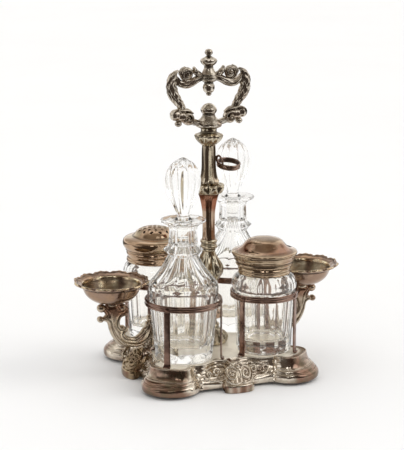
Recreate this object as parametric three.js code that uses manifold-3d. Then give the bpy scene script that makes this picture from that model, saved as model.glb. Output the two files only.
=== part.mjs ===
// Cruet set: a silver-plated stand with a lobed base, a baluster pillar and a scroll handle, four
// ring holders with two stoppered bottles and two lidded jars, two open salts on scroll arms and
// a small ring on a wire bracket. Millimetres, +Z up, origin on the table under the pillar axis;
// the salts lie along X and the front side faces -Y.
import * as THREE from "three";
import { mergeVertices } from "three/addons/utils/BufferGeometryUtils.js";
import Module from "manifold-3d";

// ---------- driving dimensions ----------
const HEIGHT = 280; // table to the top of the finial
const GAP = 0.3; // clearance between neighbouring pieces
const PLATE_Z = 22.6; // upper face of the base plate
const PLATE_UNDER_Z = 21; // lower face of the base plate
const STAND_Z = PLATE_Z + GAP; // where pieces on the plate begin
const HEAD_TOP_Z = PLATE_UNDER_Z - GAP; // top of the nut and screw heads under the plate
const VESSEL_OFFSET = 36.8; // centre of each vessel, along X and along Y
const RING_R_BOTTLE = 32.8, RING_R_JAR = 29.1; // outer radii of the holder rings
const BORE_R = 2.4; // bore of the pillar sections
const SALT_X = 88.6; // centre of each salt
const ARM_BOSS_X = 54.8; // foot of each salt arm and its screw
const SCREW_HOLE_R = 1.7;
const FACETS = 12; // cut panels round the bottles and jars

const wasm = await Module();
wasm.setup();

// ---------- materials ----------
const metal = ({ color, roughness }) => () =>
  new THREE.MeshStandardMaterial({ color, roughness, metalness: 1 });
const silver = metal({ color: 0xa89c8a, roughness: 0.28 });
const worn = metal({ color: 0x7b6455, roughness: 0.34 });
const dark = metal({ color: 0x4a3a38, roughness: 0.36 });
const copper = metal({ color: 0x9a8070, roughness: 0.3 });
const steel = metal({ color: 0x8c8c88, roughness: 0.45 });
const glass = () => new THREE.MeshStandardMaterial({
  color: 0xeef2f0,
  roughness: 0.04,
  metalness: 0,
  transparent: true,
  opacity: 0.35,
});

// ---------- geometry helpers ----------
const TAU = Math.PI * 2;
const { degToRad, smoothstep } = THREE.MathUtils;

function signedVolume(positions, indices) {
  const corner = (k) => new THREE.Vector3().fromArray(positions, indices[k] * 3);
  let sum = 0;
  for (let i = 0; i < indices.length; i += 3) {
    sum += corner(i).dot(corner(i + 1).cross(corner(i + 2)));
  }
  return sum;
}

// Indexed geometry, with its faces flipped if they point inward.
function indexed(positions, indices) {
  if (signedVolume(positions, indices) < 0) {
    for (let i = 0; i < indices.length; i += 3) {
      [indices[i + 1], indices[i + 2]] = [indices[i + 2], indices[i + 1]];
    }
  }
  const result = new THREE.BufferGeometry();
  result.setAttribute("position", new THREE.BufferAttribute(new Float32Array(positions), 3));
  result.setIndex(indices);
  return result;
}

// Skin over rows of points. A row of one point is a pole; with loop the last row joins the first.
function loft(rows, loop = false) {
  const starts = [];
  const indices = [];
  let count = 0;
  for (const row of rows) {
    starts.push(count);
    count += row.length;
  }
  const bands = loop ? rows.length : rows.length - 1;
  for (let j = 0; j < bands; j++) {
    const k = (j + 1) % rows.length;
    const [lower, upper] = [starts[j], starts[k]];
    const sides = Math.max(rows[j].length, rows[k].length);
    for (let i = 0; i < sides; i++) {
      const next = (i + 1) % sides;
      if (rows[j].length === 1) indices.push(lower, upper + i, upper + next);
      else if (rows[k].length === 1) indices.push(lower + i, upper, lower + next);
      else {
        indices.push(lower + i, upper + i, upper + next);
        indices.push(lower + i, upper + next, lower + next);
      }
    }
  }
  return indexed(rows.flat(2), indices);
}

// A turned form from [radius, z] points. shape(angle, radius, z, row) may return a changed
// radius, or a changed [radius, z].
function turned(profile, sides, { shape = (angle, radius) => radius, loop = false } = {}) {
  const rows = profile.map(([radius, z], rowIndex) => {
    if (radius === 0) return [[0, 0, z]];
    return Array.from({ length: sides }, (_, i) => {
      const angle = (i / sides) * TAU;
      const shaped = shape(angle, radius, z, rowIndex);
      const [newRadius, newZ] = Array.isArray(shaped) ? shaped : [shaped, z];
      return [newRadius * Math.cos(angle), newRadius * Math.sin(angle), newZ];
    });
  });
  return loft(rows, loop);
}

// Radius factor for count hollows round a form: 1 on the crests, 1 - depth in the hollows.
const hollow = (angle, count, depth) => 1 - depth * (0.5 - 0.5 * Math.cos(count * angle));

function weld(source) {
  const bare = source.clone();
  for (const key of Object.keys(bare.attributes)) {
    if (key !== "position") bare.deleteAttribute(key);
  }
  return mergeVertices(bare, 1e-4);
}

function solid(source) {
  const welded = weld(source);
  return new wasm.Manifold(new wasm.Mesh({
    numProp: 3,
    vertProperties: new Float32Array(welded.attributes.position.array),
    triVerts: new Uint32Array(welded.index.array),
  }));
}

// Joins the parts, then takes the cutters away.
function combine(parts, cutters = []) {
  const whole = parts.map(solid).reduce((a, b) => a.add(b));
  const mesh = cutters.map(solid).reduce((a, b) => a.subtract(b), whole).getMesh();
  const result = new THREE.BufferGeometry();
  const positions = new Float32Array(mesh.vertProperties);
  result.setAttribute("position", new THREE.BufferAttribute(positions, 3));
  result.setIndex(Array.from(mesh.triVerts));
  return result;
}

// Upright cylinder from bottom to top.
const rod = (radius, bottom, top, sides, x = 0, y = 0) =>
  new THREE.CylinderGeometry(radius, radius, top - bottom, sides)
    .rotateX(Math.PI / 2)
    .translate(x, y, (bottom + top) / 2);

// Ellipsoid with the given half sizes along X, Y and Z.
const ball = ([halfX, halfY, halfZ], [x, y, z], around, rows) =>
  new THREE.SphereGeometry(1, around, rows)
    .scale(halfX, halfZ, halfY)
    .rotateX(Math.PI / 2)
    .translate(x, y, z);

const polygon = (points) => new THREE.Shape(points.map(([x, y]) => new THREE.Vector2(x, y)));

// Bar of elliptical section swept along a smooth curve.
function tube(points, { radius, crossRadius = radius, steps, sides }) {
  const section = Array.from({ length: sides }, (_, i) => {
    const angle = (i / sides) * TAU;
    return [radius * Math.cos(angle), crossRadius * Math.sin(angle)];
  });
  const extrudePath = new THREE.CatmullRomCurve3(points.map((p) => new THREE.Vector3(...p)));
  return new THREE.ExtrudeGeometry(polygon(section), { steps, bevelEnabled: false, extrudePath });
}

const root = new THREE.Group();

function add(name, source, material, { x = 0, y = 0, turn = 0 } = {}) {
  const flat = source.index ? source.toNonIndexed() : source;
  flat.computeVertexNormals();
  const mesh = new THREE.Mesh(flat, material());
  mesh.name = name;
  mesh.position.set(x, y, 0);
  mesh.rotation.z = turn;
  root.add(mesh);
}

// ---------- base ----------
const LOBE_CENTRE = 54; // centre of each corner lobe, along X and along Y
const LOBE_R = 25;
const SIDE = 68.6; // mean half width of the base at the middle of a side
const WAVE_HEIGHT = 1.1, WAVE_HALF_LENGTH = 33; // serpentine line of the sides
const CUSP_HEIGHT = 2.4; // how far the cusps between side and lobe stand out
const CUSP_DEG = 27.4, CUSP_WIDTH_DEG = 1.9; // place from the middle of a side, and breadth
const CUSP_FADE = 8; // inset at which the cusps vanish

// How much broader the sloping rim is at each place; these factors multiply its inset.
const SPREAD = {
  least: 0.72,
  sideX: 0.38, // added on the left and right, where the arms need room
  sideY: 0.88, // added at the front and back
  sideReach: 32, // distance from the middle of a side at which its addition ends
  sideFade: 15, // length over which it fades
  lobe: 0.73, // added on the corner diagonals
  lobeFade: 0.25, // radians from the diagonal over which it fades
};

// [inset from the outline, z]: lower torus, ledge, cove and low top bead.
const RIM = [
  [0.7, 2.2], [0, 4.6], [0.3, 7.2], [1.4, 9.4], [3.4, 11.3], [5.2, 12.4], [6.1, 15.4],
  [7.4, 19.4], [8.8, 22.6], [9.4, 22.9], [10, PLATE_Z],
];
const RIM_UNDER = [
  [10.4, PLATE_UNDER_Z], [9.2, 19.6], [7.6, 14.6], [6.6, 11.2], [3, 8.2], [1.8, 5.6], [2.2, 2.2],
];

// One eighth of the outline in degrees, closer together near the cusp, mirrored round.
const EIGHTH = [0, 8, 16, 22.6, CUSP_DEG, 31, 36, 41];
const BASE_ANGLES = [0, 90, 180, 270].flatMap((start) => [
  ...EIGHTH.map((degrees) => start + degrees),
  start + 45,
  ...EIGHTH.slice(1).reverse().map((degrees) => start + 90 - degrees),
]).map(degToRad);

// Angle from the middle of the nearest side.
const fromSide = (angle) => ((angle + Math.PI / 4) % (Math.PI / 2)) - Math.PI / 4;

function spread(angle) {
  const offset = Math.abs(fromSide(angle));
  const along = Math.tan(offset) * SIDE;
  const facesX = Math.abs(Math.cos(angle)) > Math.abs(Math.sin(angle));
  const side = facesX ? SPREAD.sideX : SPREAD.sideY;
  const lobeNearness = SPREAD.lobeFade - (Math.PI / 4 - offset);
  return SPREAD.least
    + side * smoothstep(SPREAD.sideReach - along, 0, SPREAD.sideFade)
    + SPREAD.lobe * smoothstep(lobeNearness, 0, SPREAD.lobeFade);
}

// Outline radius at an angle: a serpentine square joined to four corner lobes, with cusps.
function outline(angle, inset) {
  const offset = Math.abs(fromSide(angle));
  const drawnIn = inset * (inset > 0 ? spread(angle) : 1);
  const wave = WAVE_HEIGHT * Math.cos((Math.PI * Math.tan(offset) * SIDE) / WAVE_HALF_LENGTH);
  let radius = (SIDE - drawnIn + wave) / Math.cos(offset);

  const fromDiagonal = Math.PI / 4 - offset;
  const centreR = LOBE_CENTRE * Math.SQRT2;
  const lobeR = LOBE_R - drawnIn;
  const across = centreR * Math.sin(fromDiagonal);
  if (across < lobeR) {
    const lobeEdge = centreR * Math.cos(fromDiagonal) + Math.sqrt(lobeR ** 2 - across ** 2);
    radius = Math.max(radius, lobeEdge);
  }

  const fromCusp = (offset - degToRad(CUSP_DEG)) / degToRad(CUSP_WIDTH_DEG);
  const cuspHeight = Math.max(0, CUSP_HEIGHT * (1 - drawnIn / CUSP_FADE));
  return radius + cuspHeight * Math.exp(-(fromCusp ** 2));
}

const baseRow = (radiusAt, z) => BASE_ANGLES.map((angle) => {
  const radius = radiusAt(angle);
  return [radius * Math.cos(angle), radius * Math.sin(angle), z];
});
const rimRow = (inset, z) => baseRow((angle) => outline(angle, inset), z);
const boreRow = (z) => baseRow(() => BORE_R, z);

function addBasePlate() {
  const rows = [
    ...RIM.map(([inset, z]) => rimRow(inset, z)),
    boreRow(PLATE_Z),
    boreRow(PLATE_UNDER_Z),
    ...RIM_UNDER.map(([inset, z]) => rimRow(inset, z)),
  ];
  const holes = [ARM_BOSS_X, -ARM_BOSS_X].map((x) => rod(SCREW_HOLE_R, 12, 28, 12, x));
  add("base_plate", combine([loft(rows, true)], holes), silver);
}

// ---------- feet ----------
const FOOT_OUT = 79.5; // outermost reach of the shell feet
const FOOT_RIBS = 6;
const RIB_DEPTH = 0.5;
const FOOT_CURVE = 2.6; // how far the shell falls back at its edges
const FACE_OUT = 67; // the shell's outer face lies beyond this
const BASE_SPACE_BOTTOM = 1.6; // lower end of the space kept clear for the base

// Half width of a foot at height z.
function footHalfWidth(z) {
  if (z < 12) return 13.4 - 0.12 * z;
  if (z < 20) return 12 - 0.42 * (z - 12);
  return 8.6 - 0.2 * (z - 20);
}

// A cast ribbed shell pointing along +X, reaching in to x = inner.
function foot(inner) {
  // [x, z]
  const profile = [
    [73, 0], [FOOT_OUT, 0], [FOOT_OUT, 3.4], [78.2, 5.6], [74.6, 11], [70.8, 16], [68.2, 19.8],
    [66, 22.8], [63.4, 24.4], [inner + 1, 24.4], [inner, 23.6], [inner + 1, 12], [66, 4],
  ];
  const shell = weld(new THREE.ExtrudeGeometry(
    polygon(profile),
    { depth: 2, steps: FOOT_RIBS, bevelEnabled: false },
  ));
  const points = shell.attributes.position;
  for (let i = 0; i < points.count; i++) {
    const out = points.getX(i);
    const z = points.getY(i);
    const across = points.getZ(i) - 1; // -1 to 1 over the width
    const step = Math.round((across + 1) * (FOOT_RIBS / 2));
    const ribbed = out > FACE_OUT && z > 5 && z < 18;
    const rib = ribbed ? (step % 2 ? RIB_DEPTH : -RIB_DEPTH) : 0;
    const drop = out > FACE_OUT && z < 20 ? FOOT_CURVE * across * across : 0;
    points.setXYZ(i, out - drop + rib, across * footHalfWidth(z), z);
  }
  return indexed(Array.from(points.array), Array.from(shell.index.array));
}

function addFeet() {
  // The space the base takes, grown by the clearance.
  const baseSpace = loft([
    [[0, 0, BASE_SPACE_BOTTOM]],
    ...RIM.map(([inset, z], i) => rimRow(
      i === RIM.length - 1 ? inset + GAP : inset - GAP,
      i === 0 ? BASE_SPACE_BOTTOM : z + GAP,
    )),
    [[0, 0, PLATE_Z + GAP]],
  ]);
  // [side, degrees, inner end]; the left and right feet stop short of the arm screws
  const feet = [["right", 0, 58.6], ["back", 90, 56], ["left", 180, 58.6], ["front", 270, 56]];
  for (const [side, degrees, inner] of feet) {
    const shell = foot(inner).rotateZ(degToRad(degrees));
    add("foot_" + side, combine([shell], [baseSpace]), silver);
  }
}

// ---------- ring holders ----------
const RING_Z0 = 70.5, RING_Z1 = 76; // lower and upper edge of the rings
const RING_WALL = 1.6;
const RING_EASE = 0.5; // how far the ring's outer edges draw in
const UPRIGHT_W = 5, UPRIGHT_T = 1.5; // strip section of the uprights
const UPRIGHT_STEP = 108; // degrees between the outer upright and its two neighbours
const UPRIGHT_GAP = 0.25; // between upright and ring

// [station, x side, y side, degrees of the outward diagonal, ring radius]
const STATIONS = [
  ["fl", -1, -1, 225, RING_R_BOTTLE],
  ["fr", 1, -1, 315, RING_R_JAR],
  ["bl", -1, 1, 135, RING_R_JAR],
  ["br", 1, 1, 45, RING_R_BOTTLE],
];

function holderRing(radius) {
  const height = RING_Z1 - RING_Z0;
  return turned([
    [radius - RING_EASE, RING_Z0],
    [radius, RING_Z0 + 0.22 * height],
    [radius, RING_Z0 + 0.78 * height],
    [radius - RING_EASE, RING_Z1],
    [radius - RING_WALL, RING_Z1],
    [radius - RING_WALL, RING_Z0],
  ], 26, { loop: true });
}

// Upright strip with its foot turned outward, standing under the ring wall along +X.
function upright(ringRadius) {
  const inner = ringRadius - RING_WALL / 2 - UPRIGHT_T / 2;
  const top = RING_Z0 - UPRIGHT_GAP;
  const side = polygon([
    [inner, STAND_Z], [inner + 3.4, STAND_Z], [inner + 3.4, STAND_Z + 0.9],
    [inner + 2.8, STAND_Z + 1.4], [inner + 2, STAND_Z + 1.7],
    [inner + UPRIGHT_T, STAND_Z + 2.6], [inner + UPRIGHT_T, top], [inner, top],
  ]);
  return new THREE.ExtrudeGeometry(side, { depth: UPRIGHT_W, bevelEnabled: false })
    .translate(0, 0, -UPRIGHT_W / 2)
    .rotateX(Math.PI / 2);
}

function addHolders() {
  for (const [station, sideX, sideY, diagonal, radius] of STATIONS) {
    const place = { x: sideX * VESSEL_OFFSET, y: sideY * VESSEL_OFFSET };
    add("ring_" + station, holderRing(radius), dark, place);
    const strip = upright(radius);
    [0, UPRIGHT_STEP, -UPRIGHT_STEP].forEach((step, i) => {
      const turn = degToRad(diagonal + step);
      add(`upright_${station}_${i + 1}`, strip, dark, { ...place, turn });
    });
  }
}

// ---------- pillar ----------
// Hollows that swell and fade between two heights.
const lobes = (count, depth, bottom, top) => (angle, radius, z) => {
  if (z < bottom || z > top) return radius;
  const fade = Math.sin((Math.PI * (z - bottom)) / (top - bottom));
  return radius * hollow(angle, count, depth * fade);
};
const flutes = (count, depth) => (angle, radius) => radius * hollow(angle, count, depth);
const plain = (angle, radius) => radius;

// [name, sides, shape, material, outer profile as [radius, z]], from the plate up
const PILLAR = [
  ["pillar_foot", 20, lobes(10, 0.16, 20, 37), silver, [
    [15.4, STAND_Z], [16.4, 25.2], [15.8, 29.2], [11.6, 34], [8.8, 37.2], [8.6, 39.6],
    [6.9, 41.6], [6.9, 44.7],
  ]],
  ["pillar_stem", 14, plain, worn, [
    [9.6, 45], [12.8, 47.4], [12.4, 50.6], [7.2, 53.8], [5.3, 60], [5.3, 68], [8.4, 77],
    [8.6, 79.7],
  ]],
  ["pillar_bell", 16, lobes(8, 0.16, 80, 102), silver, [
    [8.8, 80], [11.6, 84.4], [12.1, 89.6], [10.3, 94.6], [7.6, 99.4], [5.5, 104.8],
  ]],
  ["pillar_band", 14, plain, silver, [
    [5.6, 105.1], [6, 107.2], [7.4, 108.8], [6.8, 111.2], [7.4, 113.8], [6.2, 115.2],
  ]],
  ["pillar_shaft_lower", 16, flutes(8, 0.06), worn, [
    [6.1, 115.5], [5.8, 127], [5.9, 139], [7.1, 147], [8.2, 152], [9.6, 155.5],
  ]],
  ["pillar_knop", 16, lobes(8, 0.24, 157, 166), silver, [
    [9.8, 155.8], [12.4, 157.4], [13.8, 159.6], [14.1, 161.8], [11.6, 163.8], [7.8, 165.2],
  ]],
  ["pillar_shaft_upper", 16, flutes(8, 0.07), silver, [
    [6.8, 165.5], [6, 170], [6, 180], [6, 190], [5.5, 197.4],
  ]],
  ["pillar_capital", 16, lobes(8, 0.12, 198, 209), silver, [
    [5.8, 197.7], [9, 200.8], [11.6, 204.8], [11.6, 206.8], [6.8, 209.2], [7, 212.2],
  ]],
];

function addPillar() {
  for (const [name, sides, outerShape, material, profile] of PILLAR) {
    const shape = (angle, radius, z) => (radius <= BORE_R ? radius : outerShape(angle, radius, z));
    const bore = [[BORE_R, profile.at(-1)[1]], [BORE_R, profile[0][1]]];
    add(name, turned([...profile, ...bore], sides, { loop: true, shape }), material);
  }
}

// Tie rod through the pillar and the nut that draws it up under the base.
function addTie() {
  const rodR = 2, nutR = 6, nutBottom = 16.6;
  add("tie_rod", rod(rodR, 12, 218.5, 12), steel);
  const nut = [
    [nutR, nutBottom], [nutR, HEAD_TOP_Z], [BORE_R, HEAD_TOP_Z], [BORE_R, nutBottom],
  ];
  add("tie_nut", turned(nut, 6, { loop: true }), steel);
}

// ---------- handle ----------
// [radius, z] of the turned parts below and above the opening
const HANDLE_LOWER = [
  [0, 212.5], [7, 212.5], [12.2, 215.6], [9.4, 219], [5.2, 224], [6.7, 228.4], [3.8, 232.8],
  [0, 233.9],
];
const HANDLE_UPPER = [
  [0, 240], [2.2, 242.4], [5.3, 246], [4, 251.8], [7.8, 255.4], [3.9, 264], [7.1, 270],
  [1.9, 274.1], [3.4, 276.6], [2.2, 279.2], [0, HEIGHT],
];
// [half thickness along Y, half thickness in the XZ plane, steps, path as [x, z]]
const HANDLE_SCROLLS = [
  [3.1, 3.4, 5, [[5, 257], [11, 255.8], [17, 252.6], [24, 252.2], [30, 256]]],
  [3.2, 3.6, 8, [
    [29.6, 259.6], [34, 254], [34.6, 247.4], [30.4, 241], [25, 235.6], [22.6, 228],
  ]],
  [3, 3.6, 3, [[24, 221.6], [17, 219.4], [11, 217], [6, 216]]],
];
// [half sizes along X, Y and Z, x, z, facets round, facet rows]
const HANDLE_KNOBS = [
  [[5.2, 4.8, 5.2], 18.8, 260.6, 8, 5],
  [[2.7, 3, 3.2], 13.6, 263.4, 6, 4],
  [[9, 5.2, 6], 24.9, 223.6, 10, 6],
  [[3.9, 4.2, 3.6], 30.4, 219.8, 7, 5],
  [[2.5, 3, 2.3], 29.3, 259.2, 6, 4],
];

function addHandle() {
  const parts = [turned(HANDLE_LOWER, 10), turned(HANDLE_UPPER, 10)];
  for (const side of [-1, 1]) {
    for (const [radius, crossRadius, steps, path] of HANDLE_SCROLLS) {
      const points = path.map(([x, z]) => [x * side, 0, z]);
      parts.push(tube(points, { radius, crossRadius, steps, sides: 6 }));
    }
    for (const [halves, x, z, around, rows] of HANDLE_KNOBS) {
      parts.push(ball(halves, [x * side, 0, z], around, rows));
    }
  }
  add("handle", combine(parts, [rod(BORE_R, 205, 220, 12)]), silver);
}

// ---------- small ring on a wire bracket ----------
const LOOP_X = 18.3, LOOP_Z = 179.9, LOOP_R = 10.35;
const LOOP_HALF_H = 2.15, LOOP_WALL = 1.5;
const WIRE_R = 0.85;

function addStopperRing() {
  const loop = turned([
    [LOOP_R - 0.5, -LOOP_HALF_H],
    [LOOP_R, -LOOP_HALF_H / 2],
    [LOOP_R - 0.4, 0],
    [LOOP_R, LOOP_HALF_H / 2],
    [LOOP_R - 0.5, LOOP_HALF_H],
    [LOOP_R - LOOP_WALL, LOOP_HALF_H],
    [LOOP_R - LOOP_WALL, -LOOP_HALF_H],
  ], 22, { loop: true });
  loop.rotateX(degToRad(13)).rotateY(degToRad(2)).translate(LOOP_X, 0, LOOP_Z);
  const wire = tube([
    [7.2, 0, 184.6], [7.3, -1, 187], [8, -2.6, 188.4], [9.2, -4.6, 187], [10.2, -5.8, 183.6],
    [10.6, -6.1, 180],
  ], { radius: WIRE_R, steps: 8, sides: 5 });
  const stay = tube(
    [[7.4, 0, 186], [7.5, 0, 183.4], [8.6, -0.2, 180.8], [9, -0.2, 179.6]],
    { radius: WIRE_R, steps: 4, sides: 5 },
  );
  const boss = ball([0.9, 1.7, 2], [7.25, 0, 186], 6, 4);
  add("stopper_ring", combine([loop, wire, stay, boss]), dark);
}

// ---------- salts and their arms ----------
const ARM_T = 7; // thickness of the scroll arms
const ARM_BEVEL = 0.8; // worn edges of the casting
const ARM_BOSS_R = 3;
// [x, z] outline of the right arm
const ARM = [
  [82.4, 66.2], [93.6, 66.2], [95.4, 63.8], [97.2, 63.4], [99.2, 65.2], [100.8, 64.6],
  [100, 61.8], [96.4, 59.4], [94.8, 56.6], [96.8, 54.8], [100.4, 54.2], [100.8, 52.6],
  [97.4, 51.4], [93.4, 49.8], [91.8, 44], [89.6, 38], [85.3, 31.4], [80.6, 27.6],
  [75.8, 25.9], [70, 25.2], [64.5, 25.3], [58.4, 27.8], [53, 32.2], [50.2, 38],
  [50.4, 45], [52, 50.8], [54.4, 52.6], [56.8, 50.8], [56.2, 48], [58.8, 46],
  [59.2, 43], [61.6, 40.6], [64.6, 37], [68.4, 34.6], [73, 35.2], [77, 38.2],
  [74.6, 41], [74.8, 43.8], [79.8, 44.4], [81.6, 48], [80.2, 52.8], [76, 54.2],
  [73.7, 57.6], [74.2, 61.8], [77.2, 63.9], [80.4, 63.6],
];
// [radius, z]
const ARM_SCREW = [
  [0, 17.4], [2.4, 17.4], [3, 18.2], [3, HEAD_TOP_Z], [1.3, HEAD_TOP_Z], [1.3, 30.6], [0, 30.6],
];

function saltArm() {
  const depth = ARM_T - 2 * ARM_BEVEL;
  const scroll = new THREE.ExtrudeGeometry(polygon(ARM), {
    depth,
    bevelEnabled: true,
    bevelThickness: ARM_BEVEL,
    bevelSize: ARM_BEVEL,
    bevelOffset: -ARM_BEVEL,
    bevelSegments: 1,
  }).translate(0, 0, -depth / 2).rotateX(Math.PI / 2);
  const boss = rod(ARM_BOSS_R, STAND_Z, 33, 12, ARM_BOSS_X);
  const pad = rod(5.2, 63.5, 66.3, 14, SALT_X - 0.6);
  return combine([scroll, boss, pad], [rod(SCREW_HOLE_R, 15, 31.6, 10, ARM_BOSS_X)]);
}

const PETALS = 12;
const SALT_RIM_R = 32.6, SALT_RIM_Z = 86;
const PETAL_START_R = 18; // the petals deepen from here to the rim
// [radius, z], up the outside and down the inside
const SALT_DISH = [
  [0, 66.7], [6, 66.7], [14.6, 68.8], [20.6, 73.4], [23.4, 79.6], [28.4, 82.8],
  [SALT_RIM_R, SALT_RIM_Z - 0.4], [SALT_RIM_R - 0.5, SALT_RIM_Z + 0.8],
  [28, 84.4], [22, 80.4], [19.2, 74.8], [13.4, 70.4], [5.6, 68.2], [0, 68],
];

// Between petals the dish draws in and dips.
function petal(angle, radius, z) {
  const growth = Math.max(0, (radius - PETAL_START_R) / (SALT_RIM_R - PETAL_START_R));
  const notch = growth * (1 - Math.abs(Math.cos((PETALS * angle) / 2)));
  return [radius * (1 - 0.075 * notch), z - 0.9 * notch];
}

function addSalts() {
  const arm = saltArm();
  add("salt_arm_right", arm, silver);
  add("salt_arm_left", arm, silver, { turn: Math.PI });
  const screw = turned(ARM_SCREW, 10);
  add("arm_screw_right", screw, steel, { x: ARM_BOSS_X });
  add("arm_screw_left", screw, steel, { x: -ARM_BOSS_X });
  const dish = turned(SALT_DISH, PETALS * 2, { shape: petal });
  add("salt_dish_right", dish, copper, { x: SALT_X });
  add("salt_dish_left", dish, copper, { x: -SALT_X });
}

// ---------- bottles and stoppers ----------
const FRONT_LEFT = { x: -VESSEL_OFFSET, y: -VESSEL_OFFSET };
const FRONT_RIGHT = { x: VESSEL_OFFSET, y: -VESSEL_OFFSET };
const BACK_LEFT = { x: -VESSEL_OFFSET, y: VESSEL_OFFSET };
const BACK_RIGHT = { x: VESSEL_OFFSET, y: VESSEL_OFFSET };

const LIP_R = 19.4, LIP_Z = 142.6;
const MOUTH_R = 6; // inside radius of the mouth
// [radius, z]: foot, body, neck with collar and lip, then the inside
const BOTTLE = [
  [0, 24], [17, 24], [20, 23], [22.8, 23], [24.2, 24.4],
  [25.4, 31], [29.4, 76], [30.1, 86.4], [29.2, 88.8], [22.4, 96.4], [14.4, 109.6],
  [12.8, 112.4], [17, 117.2], [12.4, 122], [12, 136.6],
  [LIP_R - 0.6, 141.6], [LIP_R, LIP_Z], [LIP_R - 0.6, LIP_Z + 0.7],
  [MOUTH_R + 1, 142.3], [MOUTH_R, 141.4], [MOUTH_R, 118], [9, 108], [15.4, 98.6],
  [22.8, 89.6], [24.8, 84], [21.4, 40], [19, 36.8], [0, 36.4],
];
// Rows of BOTTLE where the cutting changes
const BODY_ROW = 5, NECK_ROW = 11, COLLAR_ROW = 12, LIP_LAST_ROW = 17;

function bottleCut(angle, radius, z, row) {
  if (row < BODY_ROW || row > LIP_LAST_ROW) return radius;
  if (row < NECK_ROW) return radius * hollow(angle, FACETS, 0.045);
  return radius * hollow(angle, 8, row === COLLAR_ROW ? 0.09 : 0.05);
}

// [radius, z]
const STOPPER = [
  [0, 127.6], [4.9, 127.6], [5.4, 142.6], [7, 143], [7, 143.7], [5.3, 145.6], [6.8, 151],
  [11, 160.4], [14.2, 168.6], [15.3, 175.6], [14.6, 183], [12, 188.8], [7.4, 193.6], [0, 195.8],
];
const STOPPER_CUT_Z = 147; // the head is fluted above this

const stopperCut = (angle, radius, z) =>
  (z > STOPPER_CUT_Z ? radius * hollow(angle, 10, 0.09) : radius);

function addBottles() {
  const bottle = turned(BOTTLE, 24, { shape: bottleCut });
  add("bottle_fl", bottle, glass, FRONT_LEFT);
  add("bottle_br", bottle, glass, BACK_RIGHT);
  const stopper = turned(STOPPER, 20, { shape: stopperCut });
  add("stopper_fl", stopper, glass, FRONT_LEFT);
  add("stopper_br", stopper, glass, BACK_RIGHT);
}

// ---------- jars, collars and lids ----------
const JAR_R = 27.9, JAR_NECK_R = 20.6, JAR_TOP = 97;
const COLLAR_BORE_R = JAR_NECK_R + GAP;
const LID_R = 28.2, LID_TOP = 121.3;
// All profiles are [radius, z].
const JAR = [
  [0, 24], [15, 24], [18, 23], [22.2, 23], [23.6, 24.2], [24.6, 50], [26.9, 76], [JAR_R, 80.4],
  [JAR_R, 84], [26.2, 87.4], [JAR_NECK_R, 90.6], [JAR_NECK_R, JAR_TOP],
  [18.6, JAR_TOP], [18.2, 92], [22, 87.6], [23.6, 82], [21.4, 40], [19.4, 34.4], [0, 33.6],
];
const JAR_CUT_ROWS = [5, 6]; // rows of JAR that carry the facets
const COLLAR_FR = [
  [21.8, 91], [22.4, 92.6], [21.9, 94.2], [22.4, 95.6], [22.1, 97.2],
  [COLLAR_BORE_R, 97.2], [COLLAR_BORE_R, 91],
];
const COLLAR_BL = [
  [24, 91], [24.9, 92.8], [24, 95], [24, 96.6], [24.9, 98.8], [24.6, 100.3],
  [COLLAR_BORE_R, 100.3], [COLLAR_BORE_R, 91],
];
// Lids run down the outside and back up the inside.
const LID_FR = [
  [0, LID_TOP], [9, 121], [14.8, 119.6], [19, 114.8], [23.4, 111.6], [LID_R - 0.4, 109.8],
  [LID_R, 107.6], [25.2, 102.8], [24.6, 99.8], [22.4, 97.6], [17.7, 97.6], [17.7, 94],
  [16.9, 94], [16.9, 98.5], [21.4, 98.8], [22.9, 101], [26.2, 106.8], [26.2, 108.6],
  [22.4, 110.4], [17.6, 114.4], [13.8, 118.4], [8.8, 119.7], [0, 120],
];
const LID_BL = [
  [0, LID_TOP + 0.1], [6, 121.1], [11.4, 120], [16, 117.4], [18.6, 113.8], [24.4, 112.4],
  [LID_R - 0.4, 110], [LID_R - 0.2, 105.4], [25.4, 102], [24.6, 100.6], [20.4, 100.6],
  [20.4, 97.7], [19.6, 97.7], [19.6, 101.5], [23, 101.8], [26.6, 106.2], [26.4, 109],
  [23.8, 111], [17.4, 112.6], [15, 116.2], [10.8, 118.6], [5.8, 119.8], [0, 120.1],
];
const HOLE_R = 1; // piercings of the caster lid
// [circle radius, count, start angle in radians]
const HOLE_CIRCLES = [[0, 1, 0], [4.8, 6, 0.2], [9.4, 10, 0.1]];

const jarCut = (angle, radius, z, row) =>
  (JAR_CUT_ROWS.includes(row) ? radius * hollow(angle, FACETS, 0.035) : radius);

function addJars() {
  const jar = turned(JAR, 24, { shape: jarCut });
  add("jar_fr", jar, glass, FRONT_RIGHT);
  add("jar_bl", jar, glass, BACK_LEFT);
  add("jar_fr_collar", turned(COLLAR_FR, 24, { loop: true }), copper, FRONT_RIGHT);
  add("jar_bl_collar", turned(COLLAR_BL, 24, { loop: true }), copper, BACK_LEFT);
  add("jar_fr_lid", turned(LID_FR, 22), copper, FRONT_RIGHT);

  const drills = HOLE_CIRCLES.flatMap(([radius, count, start]) =>
    Array.from({ length: count }, (_, i) => {
      const angle = (i / count) * TAU + start;
      return rod(HOLE_R, 108, 126, 5, radius * Math.cos(angle), radius * Math.sin(angle));
    }));
  add("jar_bl_lid", combine([turned(LID_BL, 22)], drills), copper, BACK_LEFT);
}

addBasePlate();
addFeet();
addHolders();
addPillar();
addTie();
addHandle();
addStopperRing();
addSalts();
addBottles();
addJars();

export default root;
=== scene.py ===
import math
import bpy
import numpy as np
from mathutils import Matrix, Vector
from mathutils.geometry import delaunay_2d_cdt


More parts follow.
